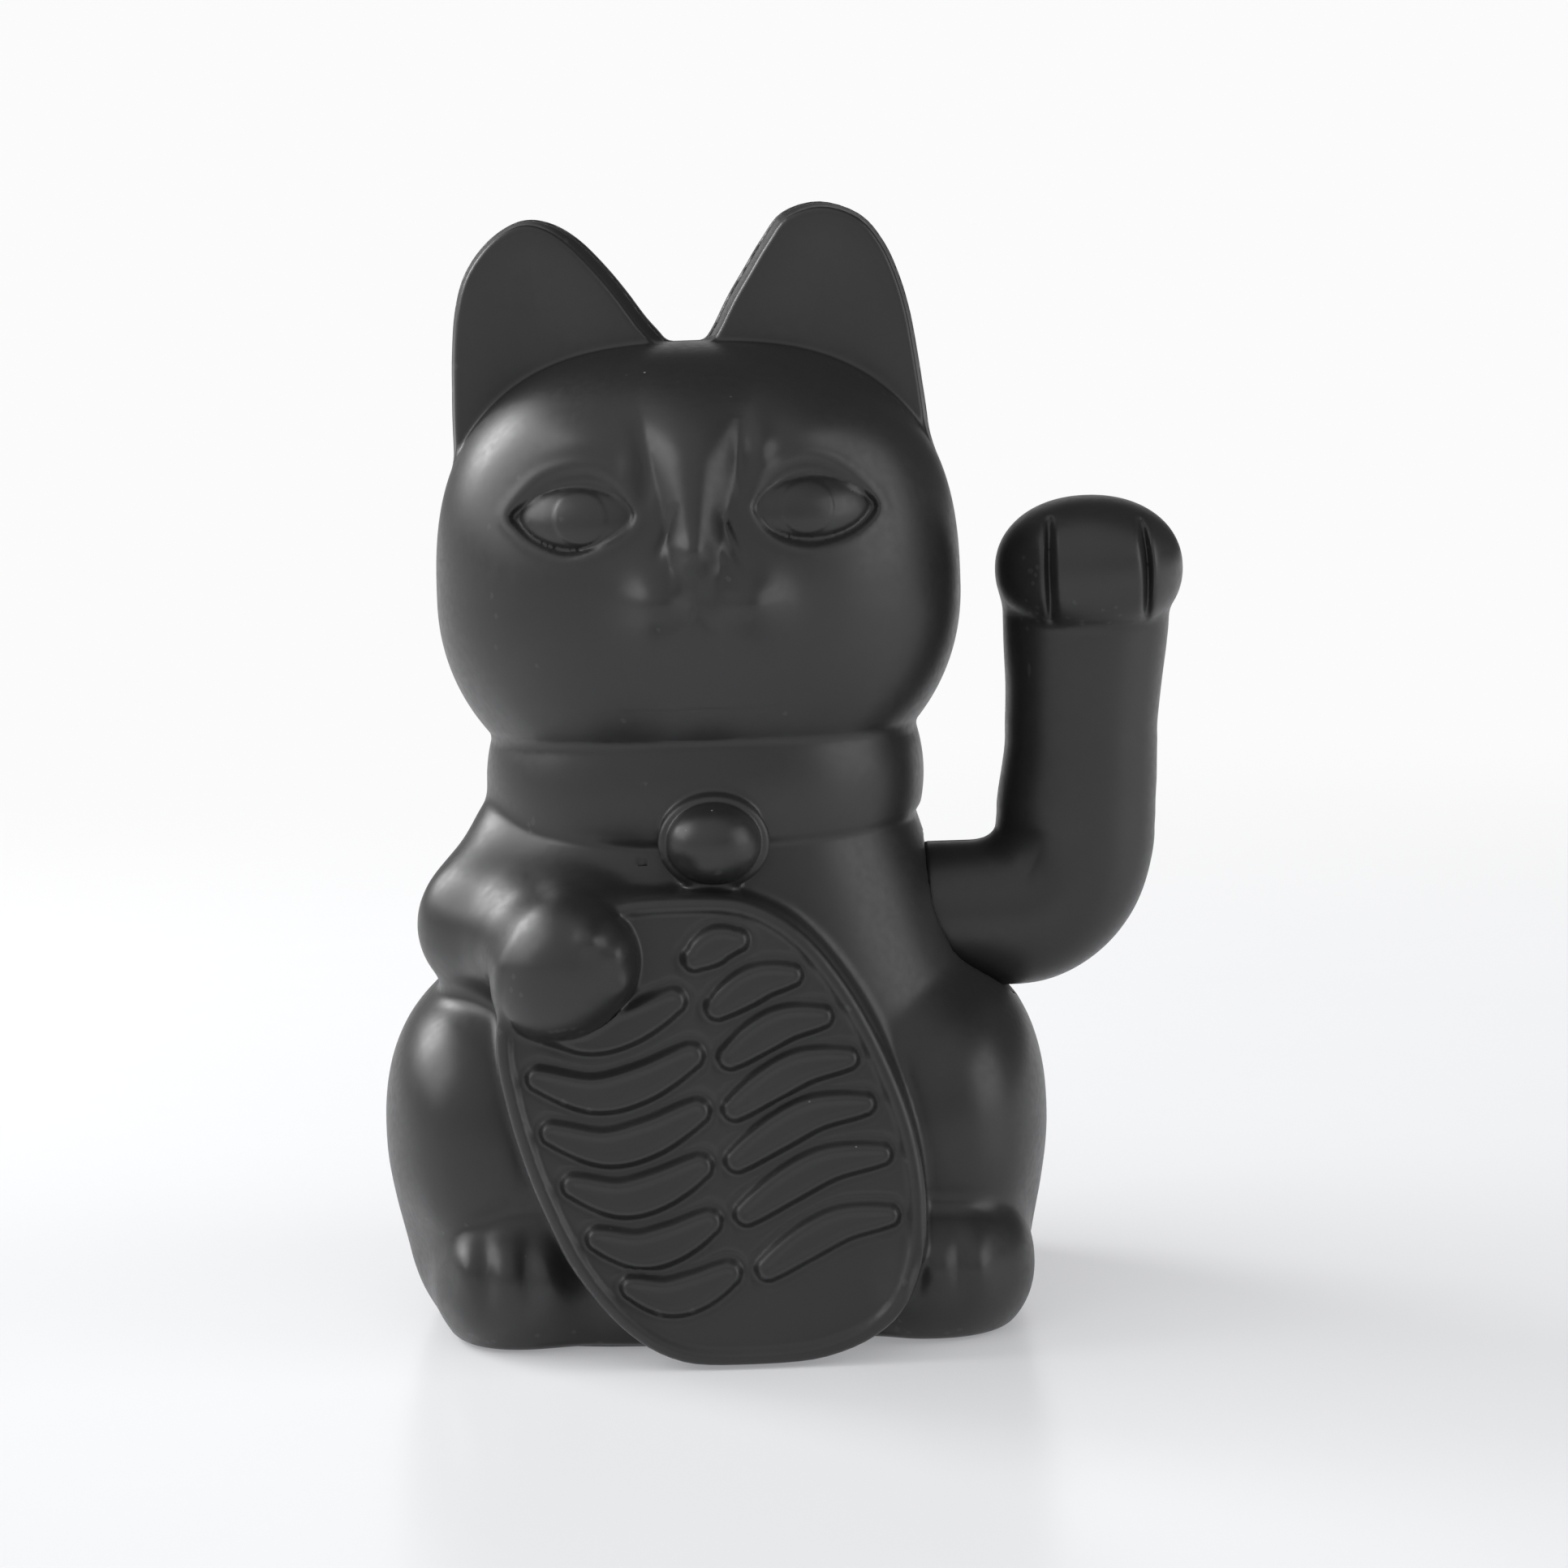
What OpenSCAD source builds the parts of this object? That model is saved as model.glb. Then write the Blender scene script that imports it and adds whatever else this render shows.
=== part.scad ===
// Beckoning cat figurine with a magnetically driven waving arm.
// Millimetres. +Z up, the cat faces -Y, its waving arm is on +X.
// The arm turns about the X axis. The two body halves meet on the plane y = 0.

/* [Body shells] */
// Wall thickness of the moulded body halves
wall = 2.2; // [2:0.1:2.4]
// Thickness of the bottom cover
base_t = 2.5; // [2.4:0.1:2.6]
// Gap between the bottom cover and the shell rim, on each side
rim_gap = 0.15; // [0.1:0.05:0.25]
// Height of the shell rim above the bottom cover's lower face
rim_lift = 0.2; // [0.1:0.05:0.3]

/* [Waving arm] */
// Height of the arm's pivot above the table
pivot_z = 52.5; // [52:0.5:53]
// Radius of the arm at the shoulder
arm_r = 10; // [9.6:0.1:10.2]
// Wall thickness of the arm halves
arm_wall = 1.8; // [1.6:0.1:2]
// Radius of the shoulder recess in the body
recess_r = 11.2; // [11:0.1:11.4]

/* [Drive] */
// Radius of the steel pivot shaft
shaft_r = 1.5; // [1.4:0.05:1.6]
// Radial running clearance between shaft and bush
run_gap = 0.05; // [0.03:0.01:0.08]
// Radius of the disc magnet
magnet_r = 5; // [4.8:0.1:5.2]
// Radius of the steel counterweight
weight_r = 5.5; // [5.3:0.1:5.6]
// Length of the steel counterweight
weight_l = 16; // [14:0.5:18]

/* [Power] */
// Radius of the AA cell
cell_r = 7.25; // [7:0.05:7.25]
// Length of the AA cell's can
cell_l = 49; // [48.5:0.1:49.2]
// Y position of the cell's axis
cell_y = 19.5; // [19.4:0.1:19.6]

/* [Hidden] */
eps = 0.01;

// ---------- helpers ----------
function sgn(v) = v < 0 ? -1 : 1;
function pw(v, p) = sgn(v) * pow(abs(v), p);
// closed superellipse: half width w, front depth f (towards -Y), rear depth b, exponent n
function outline(w, f, b, n, z, N) = [for (k = [0:N - 1]) let (t = 360 * k / N)
  [w * pw(cos(t), 2 / n), (sin(t) < 0 ? f : b) * pw(sin(t), 2 / n), z]];
function flat(pts) = [for (r = pts) each r];

// solid through a list of closed rings, all with N points
module loft(rings, N) {
  M = len(rings);
  polyhedron(points = flat(rings),
    faces = concat([[for (k = [0:N - 1]) k]],
      [for (i = [0:M - 2], k = [0:N - 1]) let (a = i * N + k, b = i * N + (k + 1) % N) [a, a + N, b + N]],
      [for (i = [0:M - 2], k = [0:N - 1]) let (a = i * N + k, b = i * N + (k + 1) % N) [a, b + N, b]],
      [[for (k = [N - 1:-1:0]) (M - 1) * N + k]]), convexity = 10);
}

// round tube of radius r along points, s sides
function unit(v) = v / norm(v);
function tangent(p, i) = unit(p[min(i + 1, len(p) - 1)] - p[max(i - 1, 0)]);
function side_of(t) = unit(cross(t, abs(t[2]) > 0.9 ? [1, 0, 0] : [0, 0, 1]));
module tube(p, r, s = 8) {
  rings = [for (i = [0:len(p) - 1]) let (t = tangent(p, i), u = side_of(t), v = cross(t, u))
    [for (k = [0:s - 1]) p[i] + r * (cos(360 * k / s) * u + sin(360 * k / s) * v)]];
  loft([for (q = rings) q], s);
}
// Catmull-Rom curve through points, n steps a span
function cr(a, b, c, d, t) = 0.5 * ((2 * b) + (c - a) * t + (2 * a - 5 * b + 4 * c - d) * t * t + (3 * b - a - 3 * c + d) * t * t * t);
function curve(p, n) = concat([for (i = [0:len(p) - 2], k = [0:n - 1])
  cr(p[max(i - 1, 0)], p[i], p[i + 1], p[min(i + 2, len(p) - 1)], k / n)], [p[len(p) - 1]]);

module along_x(x) { translate([x, 0, 0]) rotate([0, 90, 0]) children(); }
module ball(p, r) { translate(p) sphere(r = r, $fn = 18); }

// ---------- body form ----------
// height, half width, front depth, rear depth, exponent
BODY = [
  [0.2, 38.5, 30, 38.5, 2.9], [2, 40.6, 31.5, 39.8, 2.9], [5, 42.3, 32.5, 40.8, 2.9], [10, 43.5, 33, 41.4, 2.8],
  [15, 44.3, 33, 41.6, 2.7], [20, 45, 32.5, 41.5, 2.6], [25, 45.4, 32, 41.2, 2.5], [30, 45.2, 31.2, 40.6, 2.5],
  [35, 44.3, 30.5, 39.8, 2.4], [39, 42.8, 29.8, 38.9, 2.4], [43, 40.2, 29, 37.8, 2.4], [48, 36.6, 28, 36.4, 2.3],
  [54, 33.6, 27, 34.8, 2.3], [60, 31.4, 26, 32.8, 2.2], [65, 29.8, 25.2, 31.2, 2.2], [67.5, 28.7, 24.6, 30.2, 2.2],
  [70, 29.6, 25.6, 31.2, 2.2], [73, 29.9, 26, 31.4, 2.2], [76, 29.2, 25.4, 30.8, 2.2], [78, 27.8, 24.2, 29.6, 2.2],
  [80, 29.3, 26, 30.6, 2.2], [84, 31.9, 28.6, 32.2, 2.2], [88, 33.9, 30, 33.4, 2.2], [93, 35.2, 30.8, 34.2, 2.2],
  [98, 35.5, 31, 34.5, 2.2], [103, 35.3, 30.6, 34.4, 2.2], [108, 34.7, 29.8, 34, 2.2], [113, 33.8, 28.2, 33, 2.2],
  [118, 32.2, 25.6, 31, 2.2], [122, 29.6, 22.4, 28.2, 2.2], [126, 25.2, 18, 24, 2.2], [129, 19.5, 12.8, 18.5, 2.2],
  [131, 13, 7.5, 12.5, 2.2], [131.8, 6, 3, 6, 2]];
BN = 36;
module body_outer() { loft([for (s = BODY) outline(s[1], s[2], s[3], s[4], s[0], BN)], BN); }
function drop(z) = wall * min(1, max(0, (z - 112) / 16));
module body_inner() {
  loft([for (s = BODY) if (s[0] > 1) outline(s[1] - wall, s[2] - wall, s[3] - wall, s[4], s[0] - drop(s[0]), BN)], BN);
}
// base opening and bottom cover outline
BASE_W = 36; BASE_F = 27.5; BASE_B = 36.5;
function base_outline(g) = [for (p = outline(BASE_W + g, BASE_F + g, BASE_B + g, 3, 0, 48)) [p[0], p[1]]];

// ear centres: x, z, radius. The plane of each ear is y = 1.5
EAR_R = [[-27.4, 121, 5.2], [-27.2, 134, 5], [-25.2, 140, 5.2], [-21.2, 143.4, 5.3], [-17.5, 141.6, 5], [-7, 129.5, 4.2]];
EAR_L = [[26.5, 121, 5.2], [25.3, 133, 5], [23.3, 140.5, 5], [18, 144.6, 5.4], [13, 141.8, 4.6], [5.5, 129.5, 4]];
module ear(list, cut) { hull() for (e = list) ball([e[0], 1.5, e[1]], e[2] - cut); }

// scooped front faces of the ears
SCOOP_R = [[-25.6, 131.5, 3.8], [-25.2, 136, 3.8], [-22.4, 140.8, 4], [-18.8, 139.5, 3.8], [-13.6, 135.4, 3.2]];
SCOOP_L = [[24.6, 131.5, 3.8], [22.8, 136.5, 3.8], [19.8, 141.8, 4], [15.8, 141, 3.8], [11.4, 135.6, 3.2]];
module scoop(list) { hull() for (e = list) ball([e[0], -5.4, e[1]], e[2]); }

// the oval coin: points x, z round its outline, front face leaning back towards its top
COIN = [[-3, 61], [5, 60.3], [12, 56.4], [18, 49], [22.8, 39.8], [26.2, 30], [27.4, 20], [26, 11], [21.6, 4.6], [14, 1.2],
  [4, 0.3], [-5, 1.1], [-12, 5], [-18.4, 12.6], [-23.4, 23], [-26.8, 34], [-28, 43.4], [-25.6, 51.6], [-19.8, 57.4], [-12, 60.4]];
COIN_C = [-0.5, 30.6]; COIN_Y = -41.8; COIN_LEAN = 0.148;
function closed(p, n) = [for (i = [0:len(p) - 1], k = [0:n - 1]) let (M = len(p))
  cr(p[(i + M - 1) % M], p[i], p[(i + 1) % M], p[(i + 2) % M], k / n)];
function coin_ring(inset, dy, flat_y) = [for (q = closed(COIN, 2)) let (v = [q[0], q[1]] - COIN_C, w = COIN_C + v * (1 - inset / norm(v)))
  [w[0], flat_y < 0 ? flat_y : COIN_Y + COIN_LEAN * w[1] + dy, w[1]]];
module coin_solid() {
  difference() {
    loft([coin_ring(1.7, 0, 1), coin_ring(0.8, 0.3, 1), coin_ring(0.15, 1.2, 1), coin_ring(0, 2.6, 1), coin_ring(0.6, 0, -21)], 40);
    loft([coin_ring(2.6, -1, 1), coin_ring(3.4, 0.9, 1)], 40);
  }
}
module coin_hollow() { loft([coin_ring(3, 3.4, 1), coin_ring(3, 0, -12)], 40); }

module lumps_front() {
  coin_solid();
  hull() { ball([-28, -7, 55.5], 11.3); ball([-24, -20, 52], 8.5); }
  hull() { ball([-24, -20, 52], 8.5); ball([-15.8, -30.5, 53], 8.2); }
  hull() { ball([-31.5, -20, 9.5], 9.3); ball([-24, -23.8, 8.8], 8.4); }
  hull() { ball([32.5, -20, 9.5], 9.3); ball([27.5, -26, 8.8], 8.4); }
  hull() { ball([0.9, -24.5, 67.2], 6.3); ball([0.9, -23, 67.2], 5); }
  hull() { ball([-4.4, -26.2, 98.6], 6.6); ball([0, -29.4, 104.4], 3.2); ball([0, -25.4, 114], 3.2); }
  hull() { ball([4.4, -26.2, 98.6], 6.6); ball([0, -29.4, 104.4], 3.2); ball([0, -25.4, 114], 3.2); }
  for (m = [-1, 1]) hull() { ball([m * 11.4, -24.2, 110.6], 3.8); ball([m * 16.6, -22.4, 111], 5.2); ball([m * 22.4, -20.6, 111.4], 2.8); }
}
module lumps_rear() {
  hull() { ball([-28, -7, 55.5], 11.3); ball([-26, 2, 55], 9); }
  hull() { ball([8, 36.5, 7.5], 5.8); ball([-3, 37.5, 8.5], 5.8); }
  hull() { ball([-3, 37.5, 8.5], 5.8); ball([-9, 36.9, 15], 5.6); }
  hull() { ball([-9, 36.9, 15], 5.6); ball([-7, 36.6, 22], 5); }
}
module boss(p, wall_p) {
  hull() { translate([p[0], p[1], 2.75]) cylinder(r = 3, h = 10, $fn = 20); translate([wall_p[0], wall_p[1], 5]) cylinder(r = 1.2, h = 8, $fn = 8); }
}
FRONT_BOSS = [[-26, -17], [26, -17]];
REAR_BOSS = [[-15, 32.4], [15, 32.4]];

// everything hollowed out of the body: cavity, bottom opening, shoulder recess, shaft hole
module cavity() {
  difference() {
    union() {
      body_inner();
      coin_hollow();
      translate([0, 1.3, 0]) { ear(EAR_R, wall + 0.9); ear(EAR_L, wall + 0.9); }
    }
    translate([0, 0, pivot_z]) along_x(26.3) cylinder(r = recess_r + wall, h = 30, $fn = 36);
  }
  translate([0, 0, -1]) linear_extrude(3.75) polygon(base_outline(rim_gap));
}
module shoulder_cut() {
  translate([0, 0, pivot_z]) {
    along_x(28.5) cylinder(r = recess_r, h = 40, $fn = 48);
    along_x(20) cylinder(r = 3.5, h = 20, $fn = 24);
  }
}

module front_shell() {
  color([0.07, 0.07, 0.075]) difference() {
    union() {
      difference() {
        union() { body_outer(); ear(EAR_R, 0); ear(EAR_L, 0); lumps_front(); }
        cavity();
      }
      intersection() {
        union() { boss(FRONT_BOSS[0], [-30, -26]); boss(FRONT_BOSS[1], [30, -26]); }
        body_outer();
      }
    }
    for (p = FRONT_BOSS) translate([p[0], p[1], 0]) cylinder(r = 1.12, h = 11.5, $fn = 24);
    shoulder_cut();
    scoop(SCOOP_R);
    scoop(SCOOP_L);
    translate([-80, 0, -10]) cube([160, 80, 180]);
    translate([-80, -80, -20]) cube([160, 160, 20 + rim_lift]);
  }
}
module rear_shell() {
  color([0.07, 0.07, 0.075]) difference() {
    union() {
      difference() {
        union() { body_outer(); ear(EAR_R, 0); ear(EAR_L, 0); lumps_rear(); }
        cavity();
      }
      intersection() {
        union() { boss(REAR_BOSS[0], [-16, 39.5]); boss(REAR_BOSS[1], [16, 39.5]); }
        body_outer();
      }
    }
    for (p = REAR_BOSS) translate([p[0], p[1], 0]) cylinder(r = 1.12, h = 11.5, $fn = 24);
    shoulder_cut();
    translate([-80, -80, -10]) cube([160, 80, 180]);
    translate([-80, -80, -20]) cube([160, 160, 20 + rim_lift]);
  }
}

// ---------- bottom cover, cell bay ----------
BAY_X = 27.6; BAY_Y0 = 12; BAY_Y1 = 27; BAY_TOP = 17.2; BAY_WALL = 1.2;
HINGE_X = -26.1; HINGE_Z = 1.5;
module screw_seat(p) {
  translate([p[0], p[1], -1]) cylinder(r = 1.2, h = 10, $fn = 32);
  translate([p[0], p[1], -1]) cylinder(r = 2.2, h = 2.6, $fn = 32);
}
FRAME_SCREW = [[-17, 0], [17, 0]];
module base_plate() {
  color([0.09, 0.09, 0.095]) difference() {
    union() {
      linear_extrude(base_t) polygon(base_outline(0));
      translate([-BAY_X - 1.2, BAY_Y0 - BAY_WALL, 0]) cube([2 * BAY_X + 2.4, BAY_Y1 - BAY_Y0 + 2 * BAY_WALL, BAY_TOP + BAY_WALL]);
    }
    translate([-BAY_X, BAY_Y0, -1]) cube([2 * BAY_X, BAY_Y1 - BAY_Y0, BAY_TOP + 1]);
    // hinge sockets of the cell door
    translate([HINGE_X, BAY_Y0 + eps, HINGE_Z]) rotate([90, 0, 0]) cylinder(r = 1, h = 1.2, $fn = 32);
    translate([HINGE_X, BAY_Y1 - eps, HINGE_Z]) rotate([-90, 0, 0]) cylinder(r = 1, h = 1.2, $fn = 32);
    // finger notch
    translate([28.6, cell_y, -1]) cylinder(r = 4, h = 2.2, $fn = 48);
    // slots for the contact tabs
    translate([25.8, cell_y - 2, BAY_TOP - 1]) cube([0.9, 4, 4]);
    translate([-27.6, cell_y - 2, BAY_TOP - 1]) cube([0.9, 4, 4]);
    // slot for the switch knob
    translate([-2.8, -22.6, -1]) cube([5.4, 2.2, 5]);
    for (p = FRONT_BOSS) screw_seat(p);
    for (p = REAR_BOSS) screw_seat(p);
    for (p = FRAME_SCREW) screw_seat(p);
  }
}
module screw(p, top) {
  translate([p[0], p[1], 0]) difference() {
    union() {
      translate([0, 0, 0.4]) cylinder(r = 2, h = 1.15, $fn = 32);
      translate([0, 0, 1]) cylinder(r = 1.05, h = top - 1, $fn = 32);
    }
    translate([-1.3, -0.3, 0]) cube([2.6, 0.6, 0.9]);
    translate([-0.3, -1.3, 0]) cube([0.6, 2.6, 0.9]);
  }
}
module base_screws() { color("silver") { for (p = FRONT_BOSS) screw(p, 10.5); for (p = REAR_BOSS) screw(p, 10.5); } }
module frame_screws() { color("silver") for (p = FRAME_SCREW) screw(p, 7); }

module battery_door() {
  color([0.09, 0.09, 0.095]) difference() {
    union() {
      translate([HINGE_X, BAY_Y0 + 0.2, 0.3]) cube([27.35 - HINGE_X, BAY_Y1 - BAY_Y0 - 0.4, 1.5]);
      translate([HINGE_X, BAY_Y1 - 0.2, HINGE_Z]) rotate([90, 0, 0]) cylinder(r = 1.2, h = BAY_Y1 - BAY_Y0 - 0.4, $fn = 32);
      translate([HINGE_X, BAY_Y1 + 1, HINGE_Z]) rotate([90, 0, 0]) cylinder(r = 0.9, h = BAY_Y1 - BAY_Y0 + 2, $fn = 32);
      // snap tab
      translate([26.75, cell_y - 3, 1]) cube([0.6, 6, 2.6]);
    }
    // grip grooves
    for (k = [0:4]) translate([17 + 1.6 * k, cell_y - 4, 0]) cube([0.7, 8, 0.65]);
  }
}

// ---------- cell and contacts ----------
CELL_Z = 9.65; CELL_X0 = -24.5;
module battery_cell() {
  color([0.32, 0.33, 0.35]) translate([CELL_X0, cell_y, CELL_Z]) rotate([0, 90, 0]) union() {
    cylinder(r = cell_r, h = cell_l, $fn = 64);
    translate([0, 0, cell_l - 1]) cylinder(r = 2.75, h = 2.4, $fn = 48);
  }
}
module battery_spring() {
  T = 3; S = 14;
  pts = [for (i = [0:T * S]) let (u = i / (T * S), a = 360 * i / S, r = 4.6 - 1.4 * u)
    [-26.65 + 1.75 * u, cell_y + r * cos(a), CELL_Z + r * sin(a)]];
  color("gainsboro") tube(pts, 0.35, 6);
}
module contact(x) {
  color("gainsboro") union() {
    translate([x, 14.5, 4.2]) cube([0.4, 10, 11]);
    translate([x, cell_y - 1.5, 15]) cube([0.4, 3, 6.2]);
  }
}
module contact_negative() { contact(-27.5); }
module contact_positive() { contact(26.05); }

// ---------- switch ----------
module switch_body() {
  color([0.75, 0.76, 0.78]) difference() {
    translate([-4.5, -24, base_t]) cube([9, 5, 4.5]);
    translate([-3.4, -22.7, base_t - 1]) cube([6.8, 2.4, 3]);
  }
}
module switch_slider() {
  color([0.13, 0.13, 0.13]) union() {
    translate([-3.2, -22.5, 2.7]) cube([3.6, 2, 1.6]);
    translate([-2.5, -22.4, 0.35]) cube([2.1, 1.8, 2.6]);
  }
}

// ---------- drive ----------
module drive_frame() {
  color([0.86, 0.86, 0.84]) difference() {
    union() {
      translate([-20.5, -5, base_t]) cube([41, 10, 2]);
      for (m = [-1, 1]) {
        translate([m * 12.25 - 1.25, -5, base_t]) cube([2.5, 10, pivot_z - base_t]);
        translate([0, 0, pivot_z]) along_x(m * 12.25 - 1.25) cylinder(r = 5, h = 2.5, $fn = 48);
        translate([m * 17 - 3.5, -4, base_t]) cube([7, 8, 5.5]);
      }
    }
    translate([0, 0, pivot_z]) along_x(-20) cylinder(r = 3, h = 40, $fn = 48);
    for (p = FRAME_SCREW) translate([p[0], p[1], 0]) cylinder(r = 1.1, h = 7.2, $fn = 32);
    // lightening windows in the uprights
    for (z = [14, 30]) translate([-20, -2.2, z]) cube([40, 4.4, 12]);
  }
}
module bearing_bushes() {
  color([0.8, 0.65, 0.35]) translate([0, 0, pivot_z]) for (m = [-1, 1]) difference() {
    union() {
      along_x(m > 0 ? 10.2 : -13.5) cylinder(r = 2.98, h = 3.3, $fn = 48);
      along_x(m > 0 ? 10.2 : -10.95) cylinder(r = 4.2, h = 0.75, $fn = 48);
    }
    along_x(m > 0 ? 9 : -15) cylinder(r = shaft_r + run_gap, h = 6, $fn = 48);
  }
}
module pivot_shaft() { color("silver") translate([0, 0, pivot_z]) along_x(-16) cylinder(r = shaft_r, h = 58, $fn = 48); }
module retaining_clips() {
  color([0.35, 0.35, 0.37]) translate([0, 0, pivot_z]) for (x = [-15, 14.2]) along_x(x) difference() {
    cylinder(r = 3.2, h = 0.8, $fn = 40);
    translate([0, 0, -1]) cylinder(r = shaft_r, h = 3, $fn = 48);
  }
}
WEIGHT_Z = 27;
module pendulum_lever() {
  color([0.86, 0.86, 0.84]) difference() {
    union() {
      translate([0, 0, pivot_z]) along_x(-5) cylinder(r = 4, h = 10, $fn = 48);
      translate([-2, -2.5, WEIGHT_Z + 3]) cube([4, 5, pivot_z - WEIGHT_Z - 3]);
      translate([0, 0, WEIGHT_Z]) along_x(-5) cylinder(r = weight_r + 1.3, h = 10, $fn = 64);
      translate([0, 0, 17.6]) cylinder(r = magnet_r + 1.2, h = 5, $fn = 64);
    }
    translate([0, 0, pivot_z]) along_x(-9) cylinder(r = shaft_r, h = 18, $fn = 48);
    translate([0, 0, WEIGHT_Z]) along_x(-9) cylinder(r = weight_r, h = 18, $fn = 64);
    translate([0, 0, 16]) cylinder(r = magnet_r, h = 5.2, $fn = 64);
  }
}
module counterweight() { color("darkgray") translate([0, 0, WEIGHT_Z]) along_x(-weight_l / 2) cylinder(r = weight_r - 0.02, h = weight_l, $fn = 64); }
module drive_magnet() { color([0.25, 0.25, 0.27]) translate([0, 0, 17.4]) cylinder(r = magnet_r - 0.02, h = 3.8, $fn = 64); }

PCB_Z = base_t + 2; PCB_T = 1.6;
module circuit_board() { color([0.1, 0.35, 0.2]) translate([-10.3, -17, PCB_Z]) cube([20.6, 26.5, PCB_T]); }
COIL_Z = PCB_Z + PCB_T;
module coil_bobbin() {
  color([0.9, 0.88, 0.8]) translate([0, 0, COIL_Z]) difference() {
    union() {
      cylinder(r = 9, h = 0.8, $fn = 64);
      cylinder(r = 3.4, h = 9.4, $fn = 48);
      translate([0, 0, 8.6]) cylinder(r = 9, h = 0.8, $fn = 64);
    }
    translate([0, 0, -1]) cylinder(r = 1.6, h = 12, $fn = 32);
  }
}
module drive_coil() {
  color([0.72, 0.4, 0.2]) translate([0, 0, COIL_Z + 0.85]) difference() {
    cylinder(r = 8.4, h = 7.7, $fn = 64);
    translate([0, 0, -1]) cylinder(r = 3.45, h = 10, $fn = 48);
  }
}
module driver_chip() {
  color([0.05, 0.05, 0.05]) translate([-1, -13, COIL_Z]) rotate_extrude($fn = 48)
    polygon(concat([[0, 0]], [for (a = [0:15:90]) [2.7 * cos(a), 1.3 * sin(a)]]));
}
module capacitor() {
  color([0.15, 0.2, 0.45]) translate([6.6, -13, COIL_Z]) union() {
    cylinder(r = 2.5, h = 6.5, $fn = 40);
    translate([0, 0, 6.4]) cylinder(r = 2.1, h = 0.4, $fn = 40);
  }
}

// ---------- leads ----------
RED = [[27.1, 19.5, 20], [28, 15, 21], [28, 7, 17], [25, 0, 11], [19, -9, 9.5], [11.5, -18.5, 6.5], [5.2, -21.5, 5]];
BLACK = [[-28.2, 19.5, 20], [-28.5, 14, 20.5], [-27.5, 6, 16], [-24, -2, 11], [-18, -8, 10.5], [-12.5, -11, 8.5], [-9, -12.5, 6.75]];
WHITE = [[-5.1, -21.5, 5], [-7, -21, 6.5], [-8.3, -18.5, 7.4], [-8, -15.5, 6.75]];
module lead_red() { color("red") tube(curve(RED, 4), 0.5, 8); }
module lead_black() { color([0.05, 0.05, 0.05]) tube(curve(BLACK, 4), 0.5, 8); }
module lead_white() { color("white") tube(curve(WHITE, 4), 0.5, 8); }

// ---------- arm ----------
// centre line: out along X from the shoulder, a quarter bend, up to the wrist, then the paw.
// each station: x, z, direction angle (0 = +X, 90 = +Z), half width in the bend's plane, half depth
BEND = 10.6; BX = 41; FX = BX + BEND; BZ = pivot_z + BEND;
function lerp(a, b, t) = a + (b - a) * t;
function arm_stations(t) = concat(
  [for (x = [29.5, 33, 37]) [x, pivot_z, 0, arm_r - t, arm_r - t]],
  [for (a = [0:15:90]) [BX + BEND * sin(a), BZ - BEND * cos(a), a, lerp(arm_r, 10.2, a / 90) - t, arm_r - t]],
  [for (u = [1:5]) let (z = BZ + 5.4 * u) [FX + 0.16 * u, z, 90, 10.2 + 0.16 * u - t, 9.9 - t]],
  [for (q = [[92.6, 11.6, 10.2], [95, 12.3, 10.6], [98, 12.6, 10.9], [101, 12.5, 10.9]]) [52.9, q[0], 90, q[1] - t, q[2] - t]],
  [for (a = [20:20:80]) [52.9, 101 + (8.4 - t) * sin(a), 90, (12.5 - t) * cos(a), (10.9 - t) * cos(a)]]);
function arm_tip(t) = [52.9, 0, 101 + 8.4 - t];
AN = 12; // segments in half a turn
function arm_ring(s, side) = [for (k = [0:AN]) let (a = 180 * k / AN)
  [s[0] - sin(s[2]) * s[3] * cos(a), side * s[4] * sin(a), s[1] + cos(s[2]) * s[3] * cos(a)]];
// half shell: an outer and an inner skin over the same stations, closed along the seam and the open end
module arm_half(side) {
  so = arm_stations(0); si = arm_stations(arm_wall);
  M = len(so); W = AN + 1; G = M * W + 1;
  pts = concat(flat([for (s = so) arm_ring(s, side)]), [arm_tip(0)], flat([for (s = si) arm_ring(s, side)]), [arm_tip(arm_wall)]);
  function id(g, i, k) = g * G + (i < M ? i * W + k : M * W);
  skin = [for (g = [0, 1], i = [0:M - 2], k = [0:AN - 1], h = [0, 1])
    let (a = id(g, i, k), b = id(g, i, k + 1), c = id(g, i + 1, k + 1), d = id(g, i + 1, k), t = h == 0 ? [a, b, c] : [a, c, d])
    (g == 0) == (side < 0) ? t : [t[2], t[1], t[0]]];
  cap = [for (g = [0, 1], k = [0:AN - 1]) let (t = [id(g, M - 1, k), id(g, M - 1, k + 1), id(g, M, 0)])
    (g == 0) == (side < 0) ? t : [t[2], t[1], t[0]]];
  root = [for (k = [0:AN - 1], h = [0, 1]) let (a = id(0, 0, k), b = id(0, 0, k + 1), c = id(1, 0, k + 1), d = id(1, 0, k),
    t = h == 0 ? [a, c, b] : [a, d, c]) side < 0 ? t : [t[2], t[1], t[0]]];
  seam = [for (e = [0, AN], i = [0:M - 1], h = [0, 1]) let (a = id(0, i, e), b = id(0, i + 1, e), c = id(1, i + 1, e), d = id(1, i, e),
    t = h == 0 ? [a, b, c] : [a, c, d]) (e == 0) == (side < 0) ? t : [t[2], t[1], t[0]]];
  polyhedron(points = pts, faces = concat(skin, cap, root, seam), convexity = 10);
}
module arm_front_shell() { color([0.07, 0.07, 0.075]) arm_half(-1); }
module arm_rear_shell() { color([0.07, 0.07, 0.075]) arm_half(1); }
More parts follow.
